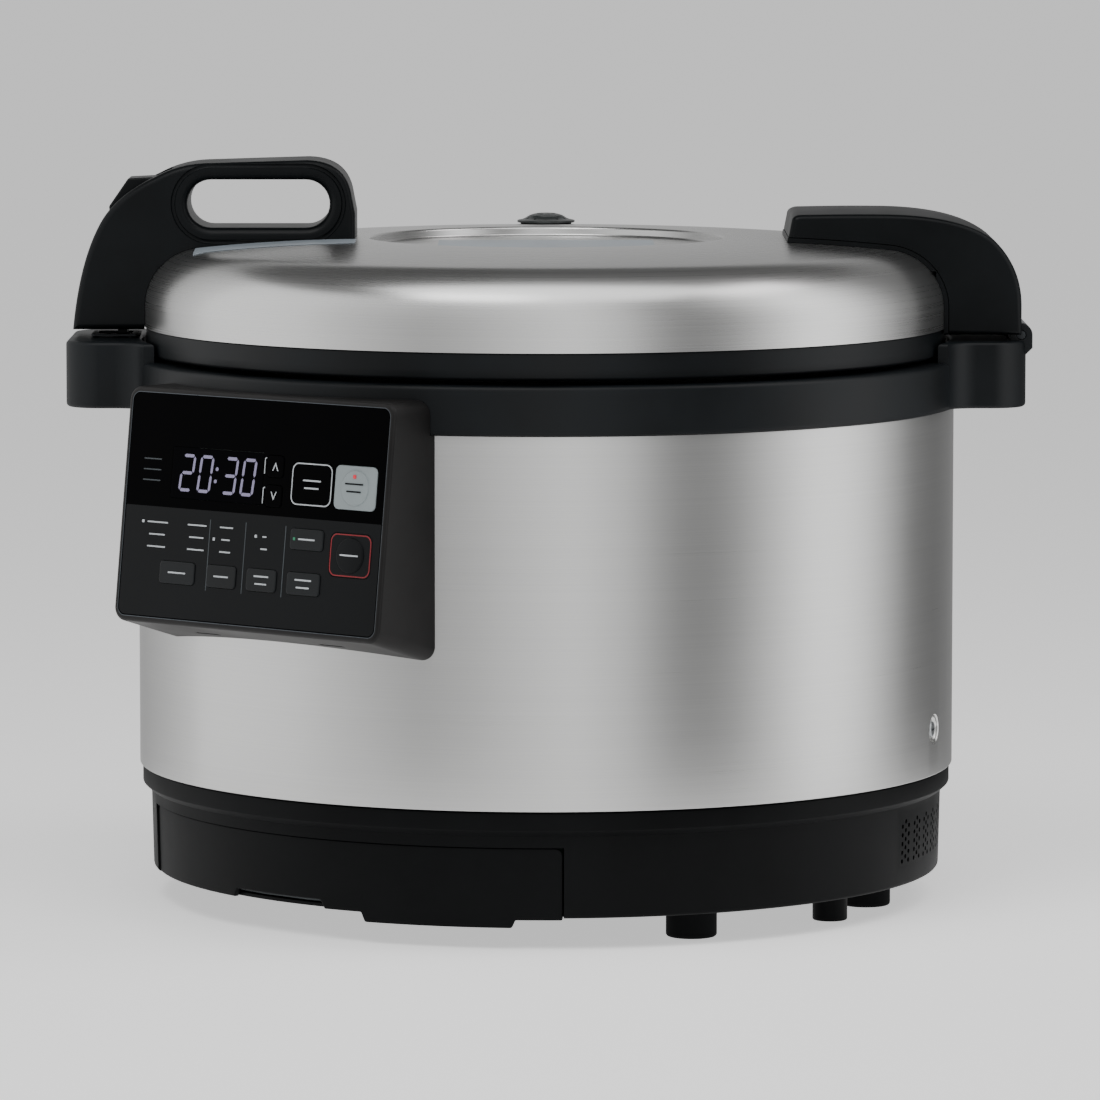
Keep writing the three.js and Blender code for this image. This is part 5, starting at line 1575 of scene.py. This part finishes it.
@dataclass
class Handle:
    """The handle with its finger slot, and the latch lever between its cheeks."""

    shop: Workshop
    lid: Lid
    depth: float = 50.0
    edge: float = 3.2
    loop_middle: float = -150.2
    loop_rise: float = 64.5
    loop_length: float = 74.4
    loop_height: float = 25.0
    channel_depth: float = 1.2
    lever_width: float = 26.0
    lever_room: float = 1.2
    below_lid: float = 1.3

    def build(self) -> None:
        """Makes the handle, its grip's rim, the lever and the pin."""
        cad = self.shop.cad
        low, high = cad.box("handle")
        self.end, self.foot = low.x, high.x
        self.bottom, self.top = self.lid.low - self.below_lid, high.z
        self.pivot = cad.pivot("latch_pivot")
        self.build_body()
        self.build_lever()

    def outline(self) -> list[Point]:
        """The handle seen from the front."""
        end, top, low = self.end, self.top, self.lid.low
        points: list[Point] = [(end, self.bottom)]
        steps = [
            ((end + 3.5, top - 53), (end + 14.6, top - 33)),
            ((end + 23, top - 18), (end + 44, top - 8.5)),
            ((end + 56, top - 2), (end + 70, top - 1.6)),
        ]
        for pull, target in steps:
            points += curve(points[-1], pull, target, 12)
        points += [(self.foot - 46, top - 0.6), (self.foot - 25, top)]
        points += curve(points[-1], (self.foot - 6, top - 0.5), (self.foot - 2.3, top - 16), 12)
        points += [(self.foot, top - 28), (self.foot, low + 36)]
        points += [(10 - self.lid.radius, low + 30), (10 - self.lid.radius, self.bottom)]
        return points

    def loop(self, grow: float = 0.0) -> list[Point]:
        """The finger slot's outline, larger all round by a distance."""
        radius = self.loop_height / 2
        half = self.loop_length / 2 - radius
        level = self.lid.low + self.loop_rise
        right = arc((self.loop_middle + half, level), radius + grow, -90, 90, 18)
        left = arc((self.loop_middle - half, level), radius + grow, 90, 270, 18)
        return [*right, *left]

    def latch_space(self) -> Mesh:
        """The space that the lever moves in."""
        x, z = self.pivot.x, self.pivot.z
        corners = [
            (self.end + 6, self.bottom - 5, 0),
            (x + 7.5, self.bottom - 5, 0),
            (x + 9, z + 12, 4),
            (x + 26, z + 26, 4),
            (x + 26, self.top + 5, 0),
            (x - 20, self.top + 5, 0),
            (x - 9.5, z + 19, 3),
            (self.end + 11, z, 6),
        ]
        width = self.lever_width + self.lever_room
        return upright(slab(rounded(corners), 0, width), width)

    def build_body(self) -> None:
        """The handle's body with a sunken channel round the finger slot."""
        body = slab(self.outline(), 0, self.depth, self.edge, [self.loop()], 4.5, steps=6)
        upright(body, self.depth)
        thick = self.channel_depth * 2
        tools = [self.lid.under(0.3), self.latch_space()]
        for side in (-1, 1):
            ring = slab(self.loop(8.6), 0, thick, 1.0, [self.loop(6.2)], 1.0)
            upright(ring, thick)
            tools.append(moved(ring, Matrix.Translation((0, side * self.depth / 2, 0))))
        shape = carved(body, tools)
        self.shop.add("lid_handle", shape, LID_BLACK, "lid", "black_plastic", ["handle"], weighted=True)
        reach = self.depth / 2 - 4.3
        pin = rod(2.5, (self.pivot.x, -reach, self.pivot.z), (self.pivot.x, reach, self.pivot.z), 0.4, 32)
        self.shop.add("pin_of_latch", pin, ZINC, "lid", "zinc_steel", ["latch_pin"])

    def build_lever(self) -> None:
        """The lever: thumb pad, pivot boss and hook."""
        x, z = self.pivot.x, self.pivot.z
        hook = self.shop.cad.low("latch_lever")
        corners = [
            (x - 6.9, z + 25.6, 2.0),
            (x + 3.2, z + 40.2, 1.6),
            (x + 17.8, z + 40.9, 1.6),
            (x + 18.6, z + 33, 2.0),
            (x + 5, z + 21, 6.0),
            (x + 4, z + 6, 1.5),
            (x + 6.6, z, 4.0),
            (x + 2, z - 10, 3.0),
            (x + 2, hook, 0.8),
            (x - 2.5, hook, 0.8),
            (x - 4, z - 12, 3.0),
            (x - 6.6, z, 4.0),
            (x - 5, z + 8, 3.0),
        ]
        width = self.lever_width
        body = upright(slab(rounded(corners), 0, width, 1.0), width)
        sides = [
            block((x - 25, 8, hook - 5), (x + 25, 20, self.bottom - 0.5)),
            block((x - 25, -20, hook - 5), (x + 25, -8, self.bottom - 0.5)),
            rod(2.6, (x, -20, z), (x, 20, z), steps=32),
        ]
        grooves = []
        along = Vector((10.1, 0, 14.6)).normalized()
        across = Vector((along.z, 0, -along.x))
        for index in range(4):
            spot = Vector((x - 6.9, 0, z + 25.6)) + along * (5 + 2.6 * index) - across * 0.2
            grooves.append(rod(0.6, (spot.x, -9, spot.z), (spot.x, 9, spot.z), 0.2, 12))
        shape = carved(body, [*sides, *grooves])
        nodes = ["latch_lever"]
        self.shop.add("latch_release", shape, LID_BLACK, "latch", "black_plastic", nodes, weighted=True)


# Hinge arm


@dataclass
class HingeArm:
    """The cover over the hinge on the lid, the strip under it and the steel bracket inside."""

    shop: Workshop
    lid: Lid
    edge: float = 2.6
    strip: float = 2.3
    crown: float = 2.2
    barrel: float = 6.0
    barrel_half: float = 28.4

    def build(self) -> None:
        """Makes the arm, its strip and the bracket."""
        cad = self.shop.cad
        low, high = cad.box("hinge_arm")
        self.tip, self.end, self.top = low.x, high.x, high.z
        self.depth = high.y - low.y
        self.pivot = cad.pivot("lid_hinge")
        self.bottom = self.pivot.z + 0.3
        self.build_body()
        self.build_strip()
        self.build_bracket()

    def outline(self, tip_run: float = 0.0) -> list[Point]:
        """The arm seen from the front."""
        tip, end, top = self.tip, self.end, self.top
        points: list[Point] = [(tip - tip_run, self.lid.low + 30), (tip - tip_run, top - 16)]
        points += [(tip + 2.2 - tip_run, top - 3.2)]
        points += curve(points[-1], (tip + 3.0, top - 0.6), (tip + 7, top - 0.5), 6)
        points += curve(points[-1], (tip + 30, top + 0.1), (tip + 52, top - 0.2), 10)
        points += curve(points[-1], (end - 30, top - 1), (end - 14, top - 16), 16)
        points += curve(points[-1], (end, top - 30), (end, top - 50), 14)
        points += [(end, self.bottom), (self.lid.radius - 8, self.bottom)]
        points += [(self.lid.radius - 8, self.lid.low + 30)]
        return points

    def hollow(self) -> Mesh:
        """The hollow that holds the bracket."""
        near = self.lid.radius + self.strip + 3
        corners = [
            (near, self.bottom - 5, 0),
            (self.end - 3, self.bottom - 5, 0),
            (self.end - 3, self.top - 48, 4),
            (self.end - 9, self.top - 30, 4),
            (self.end - 22, self.top - 17, 4),
            (near, self.top - 10, 3),
        ]
        width = self.depth - 8
        return upright(slab(rounded(corners), 0, width), width)

    def build_body(self) -> None:
        """The arm's body, slightly crowned across."""
        body = slab(self.outline(), 0, self.depth, self.edge, steps=6)
        upright(body, self.depth)
        half = self.depth / 2
        for level in (-0.8, -0.55, -0.3, 0.0, 0.3, 0.55, 0.8):
            split(body, (0, level * half, 0), (0, 1, 0))
        for vert in body.verts:
            share = max(0.0, min(1.0, (vert.co.z - self.lid.high) / (self.top - self.lid.high)))
            vert.co.z -= self.crown * share * (vert.co.y / half) ** 2
        knuckle = rod(6.9, (self.pivot.x, -38.2, self.pivot.z), (self.pivot.x, 38.2, self.pivot.z))
        shape = carved(body, [self.lid.under(self.strip + 0.6), self.hollow(), knuckle])
        self.shop.add("hinge_cover", shape, LID_BLACK, "lid", "black_plastic", ["hinge_arm"], weighted=True)

    def build_strip(self) -> None:
        """The strip between the arm and the dome."""
        body = slab(self.outline(0.3), 0, self.depth - 0.6, 1.0, steps=3)
        upright(body, self.depth - 0.6)
        shape = carved(body, [self.lid.under(self.strip + 0.2)], "INTERSECT")
        shape = carved(shape, [self.lid.under(0.25)])
        nodes = ["hinge_trim"]
        self.shop.add("hinge_strip", shape, LID_BLACK, "lid", "warm_black_plastic", nodes, weighted=True)

    def build_bracket(self) -> None:
        """The plated bracket with its rolled barrel."""
        x, z = self.pivot.x, self.pivot.z
        half = self.barrel_half
        near = self.lid.radius + self.strip + 4
        web = block((x - 6, -half, z), (self.end - 4.6, half, z + 20), 0.5)
        foot = block((near, -half, z + 17.5), (self.end - 4.8, half, z + 19.9), 0.5)
        barrel = rod(self.barrel, (x, -half, z), (x, half, z), 0.6)
        bore = rod(2.6, (x, -half - 1, z), (x, half + 1, z), steps=32)
        shape = carved(carved(web, [foot, barrel], "UNION"), [bore])
        nodes = ["hinge_bracket"]
        self.shop.add("bracket_of_hinge", shape, ZINC, "lid", "zinc_steel", nodes, weighted=True)


# Control panel


class Mark(Enum):
    """What is printed on a key."""

    UP = "an arrow up"
    DOWN = "an arrow down"
    BAR = "a short bar"
    TWO_BARS = "two short bars"


@dataclass(frozen=True)
class Key:
    """One key of the panel."""

    name: str
    width: float
    height: float
    finish: Finish = KEY_GREY
    slot: str = "button_grey"
    mark: Mark = Mark.BAR
    corner: float = 2.0
    frame: Finish | None = None
    dome: float = 0.0


KEYS = (
    Key("menu", 23.9, 11.4),
    Key("hardness", 19.8, 11.4),
    Key("soak", 20.0, 11.4, mark=Mark.TWO_BARS),
    Key("keep_warm", 22.0, 11.4, mark=Mark.TWO_BARS),
    Key("timer", 22.0, 10.6),
    Key("cancel", 27.5, 22.0, FACE_GREY, "button_red", corner=4.0, frame=PRINT_RED, dome=9.0),
    Key("quick", 27.5, 22.0, FACE_BLACK, mark=Mark.TWO_BARS, corner=4.0, frame=PRINT_WHITE),
    Key("start", 27.5, 22.0, KEY_SILVER, "button_silver", Mark.TWO_BARS, corner=3.0, dome=9.0),
    Key("hour_up", 11.0, 11.0, FACE_BLACK, mark=Mark.UP),
    Key("hour_down", 11.0, 11.0, FACE_BLACK, mark=Mark.DOWN),
)

SHOWN_TIME = "2030"

SEGMENTS = {
    "0": "abcdef",
    "2": "abged",
    "3": "abgcd",
}

# The printed columns over the lower keys, as (middle, longest bar, rows).
COLUMNS = ((-63.5, 14, 3), (-36.5, 13, 3), (-16.5, 9, 3), (9.5, 6, 2))

# The lamps beside the columns, and the lines that divide them.
DOTS = ((-73.5, -8.5), (-24.5, -14.7), (3.6, -11.5))
DIVIDERS = (-27.6, -3.4, 23.4)


@dataclass
class Panel:
    """The control panel, drawn in its own frame: x to the right, y up the face, z out of it."""

    shop: Workshop
    width: float = 178.8
    height: float = 119.6
    corner: float = 7.0
    border: float = 2.6
    plate: float = 2.4
    drop: float = 11.0
    depth: float = 70.0
    split: float = -0.6
    room_height: float = 400.0
    sunk: float = 0.3
    key_gap: float = 0.36
    digit_width: float = 9.6
    digit_height: float = 19.4
    digit_pitch: float = 12.4
    digit_bar: float = 1.9
    digit_gap: float = 0.35
    colon_room: float = 4.4
    slant: float = 0.1
    first_row: float = -8.5
    row_pitch: float = 6.2
    ink_level: float = -0.16

    def build(self) -> None:
        """Makes the housing, the face, the display, the keys and the printed marks."""
        cad = self.shop.cad
        inward = Vector(cad.joint("press_menu")["axis"])
        outward = -inward.normalized()
        self.tilt = math.asin(outward.z)
        right = Vector((-outward.y, outward.x, 0)).normalized()
        up = outward.cross(right)
        centre = cad.middle("panel_face") + outward * (self.sunk + self.plate / 2)
        self.frame = Matrix.Translation(centre) @ Matrix((right, up, outward)).transposed().to_4x4()
        self.face_width = self.width - 2 * self.border
        self.face_height = self.height - 2 * self.border
        self.build_housing()
        self.build_face()
        self.build_display()
        for key in KEYS:
            self.build_key(key)
        self.build_print()

    def spot(self, node: str) -> Point:
        """Where a node's middle lies on the face."""
        place = self.frame.inverted() @ self.shop.cad.middle(node)
        return place.x, place.y

    def add(
        self,
        name: str,
        shape: Mesh,
        finish: Finish,
        body: str,
        slot: str,
        nodes: Sequence[str] = (),
    ) -> None:
        """Adds a piece that was drawn in the panel's frame."""
        self.shop.add(name, shape, finish, body, slot, nodes, self.frame, weighted=True)

    def build_housing(self) -> None:
        """The housing, level on top and sloping below, hollow and open in front."""
        cad = self.shop.cad
        outline = box_outline(self.width, self.height, self.corner, steps=10)
        body = slab(outline, -self.depth, 0, 1.8, steps=6)
        seat = slab(box_outline(self.face_width + 0.5, self.face_height + 0.5, 5.0, steps=8), -3.2, 5)
        inner = slab(box_outline(self.face_width - 8, self.face_height - 8, 4.0), -self.depth - 5, 5)
        under = -self.height / 2
        slots = [block((x, under - 14, -22), (x + 16, under + 3, -19), 0.5) for x in (34, -50)]
        shape = carved(body, [seat])
        self.flare(shape)
        self.flare(inner)
        tools = [inner]
        for node, low in (("outer_skin", 0), ("upper_ring", cad.low("upper_ring") - 0.3)):
            room = turned(rectangle(0, low, cad.radius(node) + 0.3, self.room_height), 240)
            tools.append(moved(room, self.frame.inverted()))
        shape = carved(shape, [*tools, *slots])
        self.add("housing_shell", shape, WARM_BLACK, "cooker_body", "warm_black_plastic", ["panel_housing"])

    def flare(self, shape: Mesh) -> None:
        """Keeps the top level and lets the underside slope down, behind the face."""
        rise = math.tan(self.tilt)
        fall = self.drop / 38 - rise
        half = self.height / 2
        for vert in shape.verts:
            behind = max(0.0, -vert.co.z)
            share = (vert.co.y + half) / (2 * half)
            vert.co.y += behind * (rise * share - fall * (1 - share))

    def build_face(self) -> None:
        """The glossy upper face, the satin lower face and the bright line round both."""
        half_width, half_height = self.face_width / 2, self.face_height / 2
        back, front = -self.sunk - self.plate, -self.sunk
        outline = box_outline(self.face_width, self.face_height, 4.6, steps=8)
        holes = [self.key_hole(key) for key in KEYS]
        screen = self.spot("display")
        holes.append(box_outline(62.24, 26.24, 1.3, screen))
        shape = slab(outline, back, front, 0.4, holes, 0.25, steps=3)
        self.add("face_plate", shape, FACE_BLACK, "cooker_body", "panel_black", ["panel_face"])
        lower = [
            (-half_width + 0.8, -half_height + 0.8, 4.0),
            (half_width - 0.8, -half_height + 0.8, 4.0),
            (half_width - 0.8, self.split, 0.2),
            (-half_width + 0.8, self.split, 0.2),
        ]
        low_keys = [key for key in KEYS if self.spot(f"button_{key.name}")[1] < self.split]
        low_holes = [self.key_hole(key) for key in low_keys]
        film = slab(rounded(lower, 6), front + 0.02, front + 0.12, 0, low_holes)
        self.add("lower_film", film, FACE_GREY, "cooker_body", "panel_black")
        line = slab(
            box_outline(self.face_width + 0.4, self.face_height + 0.4, 4.8, steps=8),
            front - 0.4,
            front + 0.2,
            0.0,
            [box_outline(self.face_width - 0.3, self.face_height - 0.3, 4.5, steps=8)],
        )
        self.add("face_line", line, EDGE_SILVER, "cooker_body", "panel_black")

    def key_hole(self, key: Key) -> list[Point]:
        """The hole that a key comes through."""
        gap = self.key_gap
        middle = self.spot(f"button_{key.name}")
        return box_outline(key.width + gap, key.height + gap, key.corner + gap / 2, middle)

    def build_display(self) -> None:
        """The display's lens and its four digits with a colon."""
        middle = self.spot("display")
        lens = slab(box_outline(62, 26, 1.2, middle), -self.sunk - self.plate, -self.sunk, 0.15, steps=2)
        self.add("display_lens", lens, DISPLAY, "cooker_body", "display_glass", ["display"])
        left = middle[0] - 25.3
        parts = []
        for index, figure in enumerate(SHOWN_TIME):
            x = left + index * self.digit_pitch + (self.colon_room if index > 1 else 0)
            for name in SEGMENTS[figure]:
                parts.append(self.segment(name, self.digit_width, self.digit_height, self.digit_bar))
                moved(parts[-1], Matrix.Translation((x, middle[1] - self.digit_height / 2, 0)))
        for level in (0.34, 0.66):
            y = middle[1] + (level - 0.5) * self.digit_height
            dot = box_outline(self.digit_bar, self.digit_bar, 0.9, (left + 24.6, y))
            parts.append(slab(dot, -0.28, -0.2))
        whole = merged(parts)
        for vert in whole.verts:
            vert.co.x += self.slant * (vert.co.y - middle[1])
        self.add("display_digits", whole, DIGIT, "cooker_body", "display_glass")

    def segment(self, name: str, width: float, height: float, bar: float) -> Mesh:
        """One bar of a digit, named a to g clockwise from the top with g in the middle."""
        across = {"a": height, "g": height / 2, "d": 0.0}
        gap = self.digit_gap
        if name in across:
            y = min(max(across[name], bar / 2), height - bar / 2)
            near, far = bar * 0.55 + gap, bar * 0.9 + gap
            points = [(near, y), (far, y + bar / 2), (width - far, y + bar / 2), (width - near, y)]
            points += [(width - far - 0.2, y - bar * 0.35), (far + 0.2, y - bar * 0.35)]
        else:
            x = bar / 2 if name in "ef" else width - bar / 2
            low = height / 2 + gap if name in "bf" else bar * 0.4 + gap
            high = height - bar * 0.4 - gap if name in "bf" else height / 2 - gap
            points = [(x, low), (x + bar * 0.38, low + bar * 0.5), (x + bar * 0.38, high - bar * 0.5)]
            points += [(x, high), (x - bar * 0.38, high - bar * 0.5), (x - bar * 0.38, low + bar * 0.5)]
        return slab(points, -0.28, -0.2)

    def build_key(self, key: Key) -> None:
        """One key: a cap with soft rims, and what is printed on it."""
        middle = self.spot(f"button_{key.name}")
        low, high = -self.plate - 2, 0.5 if key.finish is KEY_GREY else 0.0
        cap = slab(box_outline(key.width, key.height, key.corner, middle), low, high, 0.55, steps=4)
        if key.dome:
            rim = arc((key.dome - 1.0, high - 0.2), 1.0, 0, 75, 5)
            outline = [(0, high - 0.6), (key.dome, high - 0.6), *rim, (0, high + 1.1)]
            disc = turned(outline, 56, closed=False)
            cap = merged([cap, moved(disc, Matrix.Translation((*middle, 0)))])
        body = f"key_{key.name}"
        self.add(f"cap_{key.name}", cap, key.finish, body, key.slot, [f"button_{key.name}"])
        top = high + (1.12 if key.dome else 0.02)
        print_finish = FACE_GREY if key.finish is KEY_SILVER else PRINT_WHITE
        self.add(f"mark_{key.name}", merged(self.marks(key, middle, top)), print_finish, body, key.slot)
        if key.frame:
            outer = box_outline(key.width - 0.8, key.height - 0.8, key.corner, middle)
            inner = box_outline(key.width - 2.0, key.height - 2.0, key.corner - 0.5, middle)
            rim = slab(outer, high - 0.1, high + 0.05, 0, [inner])
            self.add(f"frame_{key.name}", rim, key.frame, body, key.slot)

    def marks(self, key: Key, middle: Point, top: float) -> list[Mesh]:
        """Plain bars and arrows that stand for what is printed on a key."""
        x, y = middle
        thick = 0.06
        if key.mark in (Mark.UP, Mark.DOWN):
            way = 1 if key.mark is Mark.UP else -1
            arm, line = 2.0, 0.6
            tip, foot = y + way * 2.2, y - way * 2.2
            points = [(x - arm, foot), (x, tip), (x + arm, foot)]
            points += [(x + arm - line, foot), (x, tip - way * 1.4), (x - arm + line, foot)]
            return [slab(points, top, top + thick)]
        rows = [0.0] if key.mark is Mark.BAR else [1.9, -1.9]
        long = min(key.width * 0.5, 12)
        bars = []
        for number, row in enumerate(rows):
            length = long * (1.0 if number == 0 else 0.8)
            bars.append(slab(box_outline(length, 0.8, 0.35, (x, y + row)), top, top + thick))
        return bars

    def printed(self, outline: Sequence[Point]) -> Mesh:
        """A mark printed on the lower film."""
        return slab(outline, self.ink_level, self.ink_level + 0.05)

    def build_print(self) -> None:
        """The printed columns over the lower keys, as plain bars, with their dividing lines and lamps."""
        white, grey = [], []
        for x, length, rows in COLUMNS:
            for row in range(rows):
                y = self.first_row - self.row_pitch * row - (3.0 if rows == 2 else 0)
                size = length - 1.6 * ((row * 2 + rows) % 3)
                white.append(self.printed(box_outline(size, 0.75, 0.3, (x, y))))
        white += [self.printed(box_outline(1.5, 1.5, 0.3, dot)) for dot in DOTS]
        grey += [self.printed(box_outline(0.5, 36, 0.2, (x, -23))) for x in DIVIDERS]
        for row in range(3):
            grey.append(slab(box_outline(12, 0.6, 0.25, (-70, 23.5 - 5.4 * row)), -0.29, -0.24))
        self.add("panel_print", merged(white), PRINT_WHITE, "cooker_body", "panel_black")
        self.add("panel_lines", merged(grey), PRINT_GREY, "cooker_body", "panel_black")
        brackets = []
        for name in ("hour_up", "hour_down"):
            x, y = self.spot(f"button_{name}")
            outline = [(-7.6, -4), (-7.1, -4), (-7.1, 3.4), (-6.3, 4), (-6.5, 4.4), (-7.6, 3.8)]
            brackets.append(slab([(x + dx, y + dy) for dx, dy in outline], -0.29, -0.22))
        self.add("hour_brackets", merged(brackets), PRINT_WHITE, "cooker_body", "panel_black")
        x, y = self.spot("button_start")
        lamp = slab(box_outline(1.9, 1.9, 0.4, (x, y + 5.6)), 1.0, 1.25, 0.1, steps=2)
        self.add("start_lamp", lamp, RED_LAMP, "key_start", "button_silver")
        x, y = self.spot("button_timer")
        lamp = slab(box_outline(1.5, 1.5, 0.3, (x - 8.2, y)), 0.4, 0.58, 0.08, steps=2)
        self.add("timer_lamp", lamp, GREEN_LAMP, "key_timer", "button_grey")


# Studio


@dataclass(frozen=True)
class Softbox:
    """One large soft light, aimed at the cooker."""

    name: str
    azimuth: float
    elevation: float
    distance: float
    width: float
    height: float
    power: float
    tint: tuple[float, float, float] = (1.0, 1.0, 1.0)


SOFTBOXES = (
    Softbox("key_light", -28, 52, 2.2, 1.0, 0.8, 7),
    Softbox("side_light", 85, 48, 2.1, 0.9, 0.9, 8, (1.0, 0.975, 0.98)),
)

# How bright the screen round the cooker is, as (azimuth, level).
SCREEN = (
    (-180, 0.6),
    (-150, 0.6),
    (-128, 0.45),
    (-106, 0.75),
    (-92, 1.07),
    (-73, 1.43),
    (-57, 1.32),
    (-44, 0.97),
    (-26, 0.61),
    (-15, 0.77),
    (-6, 1.03),
    (6, 1.35),
    (17, 0.94),
    (22, 0.57),
    (28, 0.33),
    (34, 0.31),
    (40, 0.43),
    (46, 0.75),
    (53, 1.25),
    (59, 1.83),
    (67, 2.02),
    (75, 1.61),
    (85, 0.79),
    (96, 0.25),
    (111, 0.18),
    (128, 0.24),
    (150, 0.4),
    (179, 0.6),
)


@dataclass
class Studio:
    """The floor, the lights and the camera."""

    cad: Cad
    camera_distance: float = 3800.0
    camera_height: float = 568.4
    pitch: float = 5.82
    lens: float = 236.75
    sensor: float = 36.0
    side_shift: float = 0.00366
    aim_height: float = 0.2
    surround: float = 0.09
    floor_glow: float = 0.7
    canopy: tuple[float, float, float] = (2.0, 1.85, 24.0)
    canopy_place: tuple[float, float, float] = (0.0, -1.12, 1.95)
    screen_radius: float = 0.42
    screen_height: float = 0.62

    def build(self) -> None:
        """Makes the whole set."""
        self.build_camera()
        self.build_floor()
        self.build_world()
        for box in SOFTBOXES:
            self.build_light(box)
        self.build_canopy()
        self.build_screen()

    def build_camera(self) -> None:
        """The camera in front of the cooker, a little above it."""
        data = bpy.data.cameras.new("camera")
        data.lens = self.lens
        data.sensor_width = self.sensor
        data.shift_x = self.side_shift
        camera = linked("camera", data)
        camera.location = self.cad.axis + Vector((0, -self.camera_distance, self.camera_height)) * MM
        camera.rotation_euler = (math.radians(90 - self.pitch), 0, 0)
        data.clip_end = 100
        bpy.context.scene.camera = camera

    def build_floor(self) -> None:
        """A plain pale floor."""
        shape = bmesh.new()
        bmesh.ops.create_circle(shape, cap_ends=True, segments=96, radius=40)
        floor = linked("floor", baked("floor", shape))
        graph = Graph("floor")
        graph.set(Base_Color=(0.9, 0.9, 0.9, 1), Roughness=0.9, Specular_IOR_Level=0.1)
        graph.set(Emission_Color=(1, 1, 1, 1), Emission_Strength=self.floor_glow)
        floor.data.materials.append(graph.material)

    def build_world(self) -> None:
        """An even pale surround."""
        world = bpy.data.worlds.new("studio")
        world.use_nodes = True
        background = world.node_tree.nodes["Background"]
        background.inputs["Color"].default_value = (1, 1, 1, 1)
        background.inputs["Strength"].default_value = self.surround
        bpy.context.scene.world = world

    def aim(self, azimuth: float, elevation: float, distance: float) -> Matrix:
        """A place round the cooker whose -Z axis looks at it."""
        x, y = around(azimuth, distance * math.cos(math.radians(elevation)))
        level = distance * math.sin(math.radians(elevation)) + self.aim_height
        place = Vector((x, y, level)) + self.cad.axis
        look = (Vector((*self.cad.axis.xy, self.aim_height)) - place).to_track_quat("-Z", "Y")
        return Matrix.Translation(place) @ look.to_matrix().to_4x4()

    def area(self, name: str, width: float, height: float, power: float) -> bpy.types.Object:
        """A rectangular soft light that the camera doesn't see."""
        data = bpy.data.lights.new(name, "AREA")
        data.shape = "RECTANGLE"
        data.size, data.size_y = width, height
        data.energy = power
        light = linked(name, data)
        light.visible_camera = False
        return light

    def build_light(self, box: Softbox) -> None:
        """One softbox."""
        light = self.area(box.name, box.width, box.height, box.power)
        light.data.color = box.tint
        light.matrix_world = self.aim(box.azimuth, box.elevation, box.distance)

    def build_canopy(self) -> None:
        """The large soft light overhead, which reaches further forward than back."""
        light = self.area("canopy", *self.canopy)
        light.location = self.cad.axis + Vector(self.canopy_place)

    def build_screen(self) -> None:
        """The round screen that the steel reflects; it is seen in reflections only."""
        shape = bmesh.new()
        bmesh.ops.create_circle(shape, segments=180, radius=self.screen_radius)
        made = bmesh.ops.extrude_edge_only(shape, edges=shape.edges[:])["geom"]
        for vert in [item for item in made if isinstance(item, bmesh.types.BMVert)]:
            vert.co.z = self.screen_height
        shape.transform(Matrix.Translation(self.cad.axis + Vector((0, 0, 0.002))))
        screen = linked("screen", baked("screen", shape))
        graph = Graph("screen")
        turn = graph.add("ShaderNodeTexGradient", gradient_type="RADIAL")
        graph.feed(turn, Vector=graph.place(self.cad.axis))
        ramp = graph.feed(graph.add("ShaderNodeValToRGB"), Fac=turn.outputs["Fac"])
        brightest = max(level for _, level in SCREEN)
        stops = sorted((((azimuth + 90) / 360) % 1.0, level / brightest) for azimuth, level in SCREEN)
        points = ramp.color_ramp.elements
        points[0].position, points[1].position = stops[0][0], stops[-1][0]
        for position, _ in stops[1:-1]:
            points.new(position)
        for point, (_, level) in zip(points, stops):
            point.color = (level, level, level, 1)
        graph.set(Base_Color=(0, 0, 0, 1), Roughness=1.0, Specular_IOR_Level=0.0)
        graph.set(Emission_Color=ramp.outputs["Color"], Emission_Strength=brightest)
        screen.data.materials.append(graph.material)
        screen.visible_camera = False
        screen.visible_shadow = False
        screen.visible_diffuse = False


# The whole scene


def main() -> None:
    """Builds the studio and every sub-assembly in order."""
    logging.basicConfig(level=logging.INFO, format="%(name)s %(message)s")
    cad = Cad(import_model())
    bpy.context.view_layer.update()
    Studio(cad).build()
    shop = Workshop(cad)
    Base(shop).build()
    Casing(shop).build()
    Inside(shop).build()
    lid = Lid(shop)
    lid.build()
    Handle(shop, lid).build()
    HingeArm(shop, lid).build()
    Panel(shop).build()


if __name__ == "__main__":
    main()
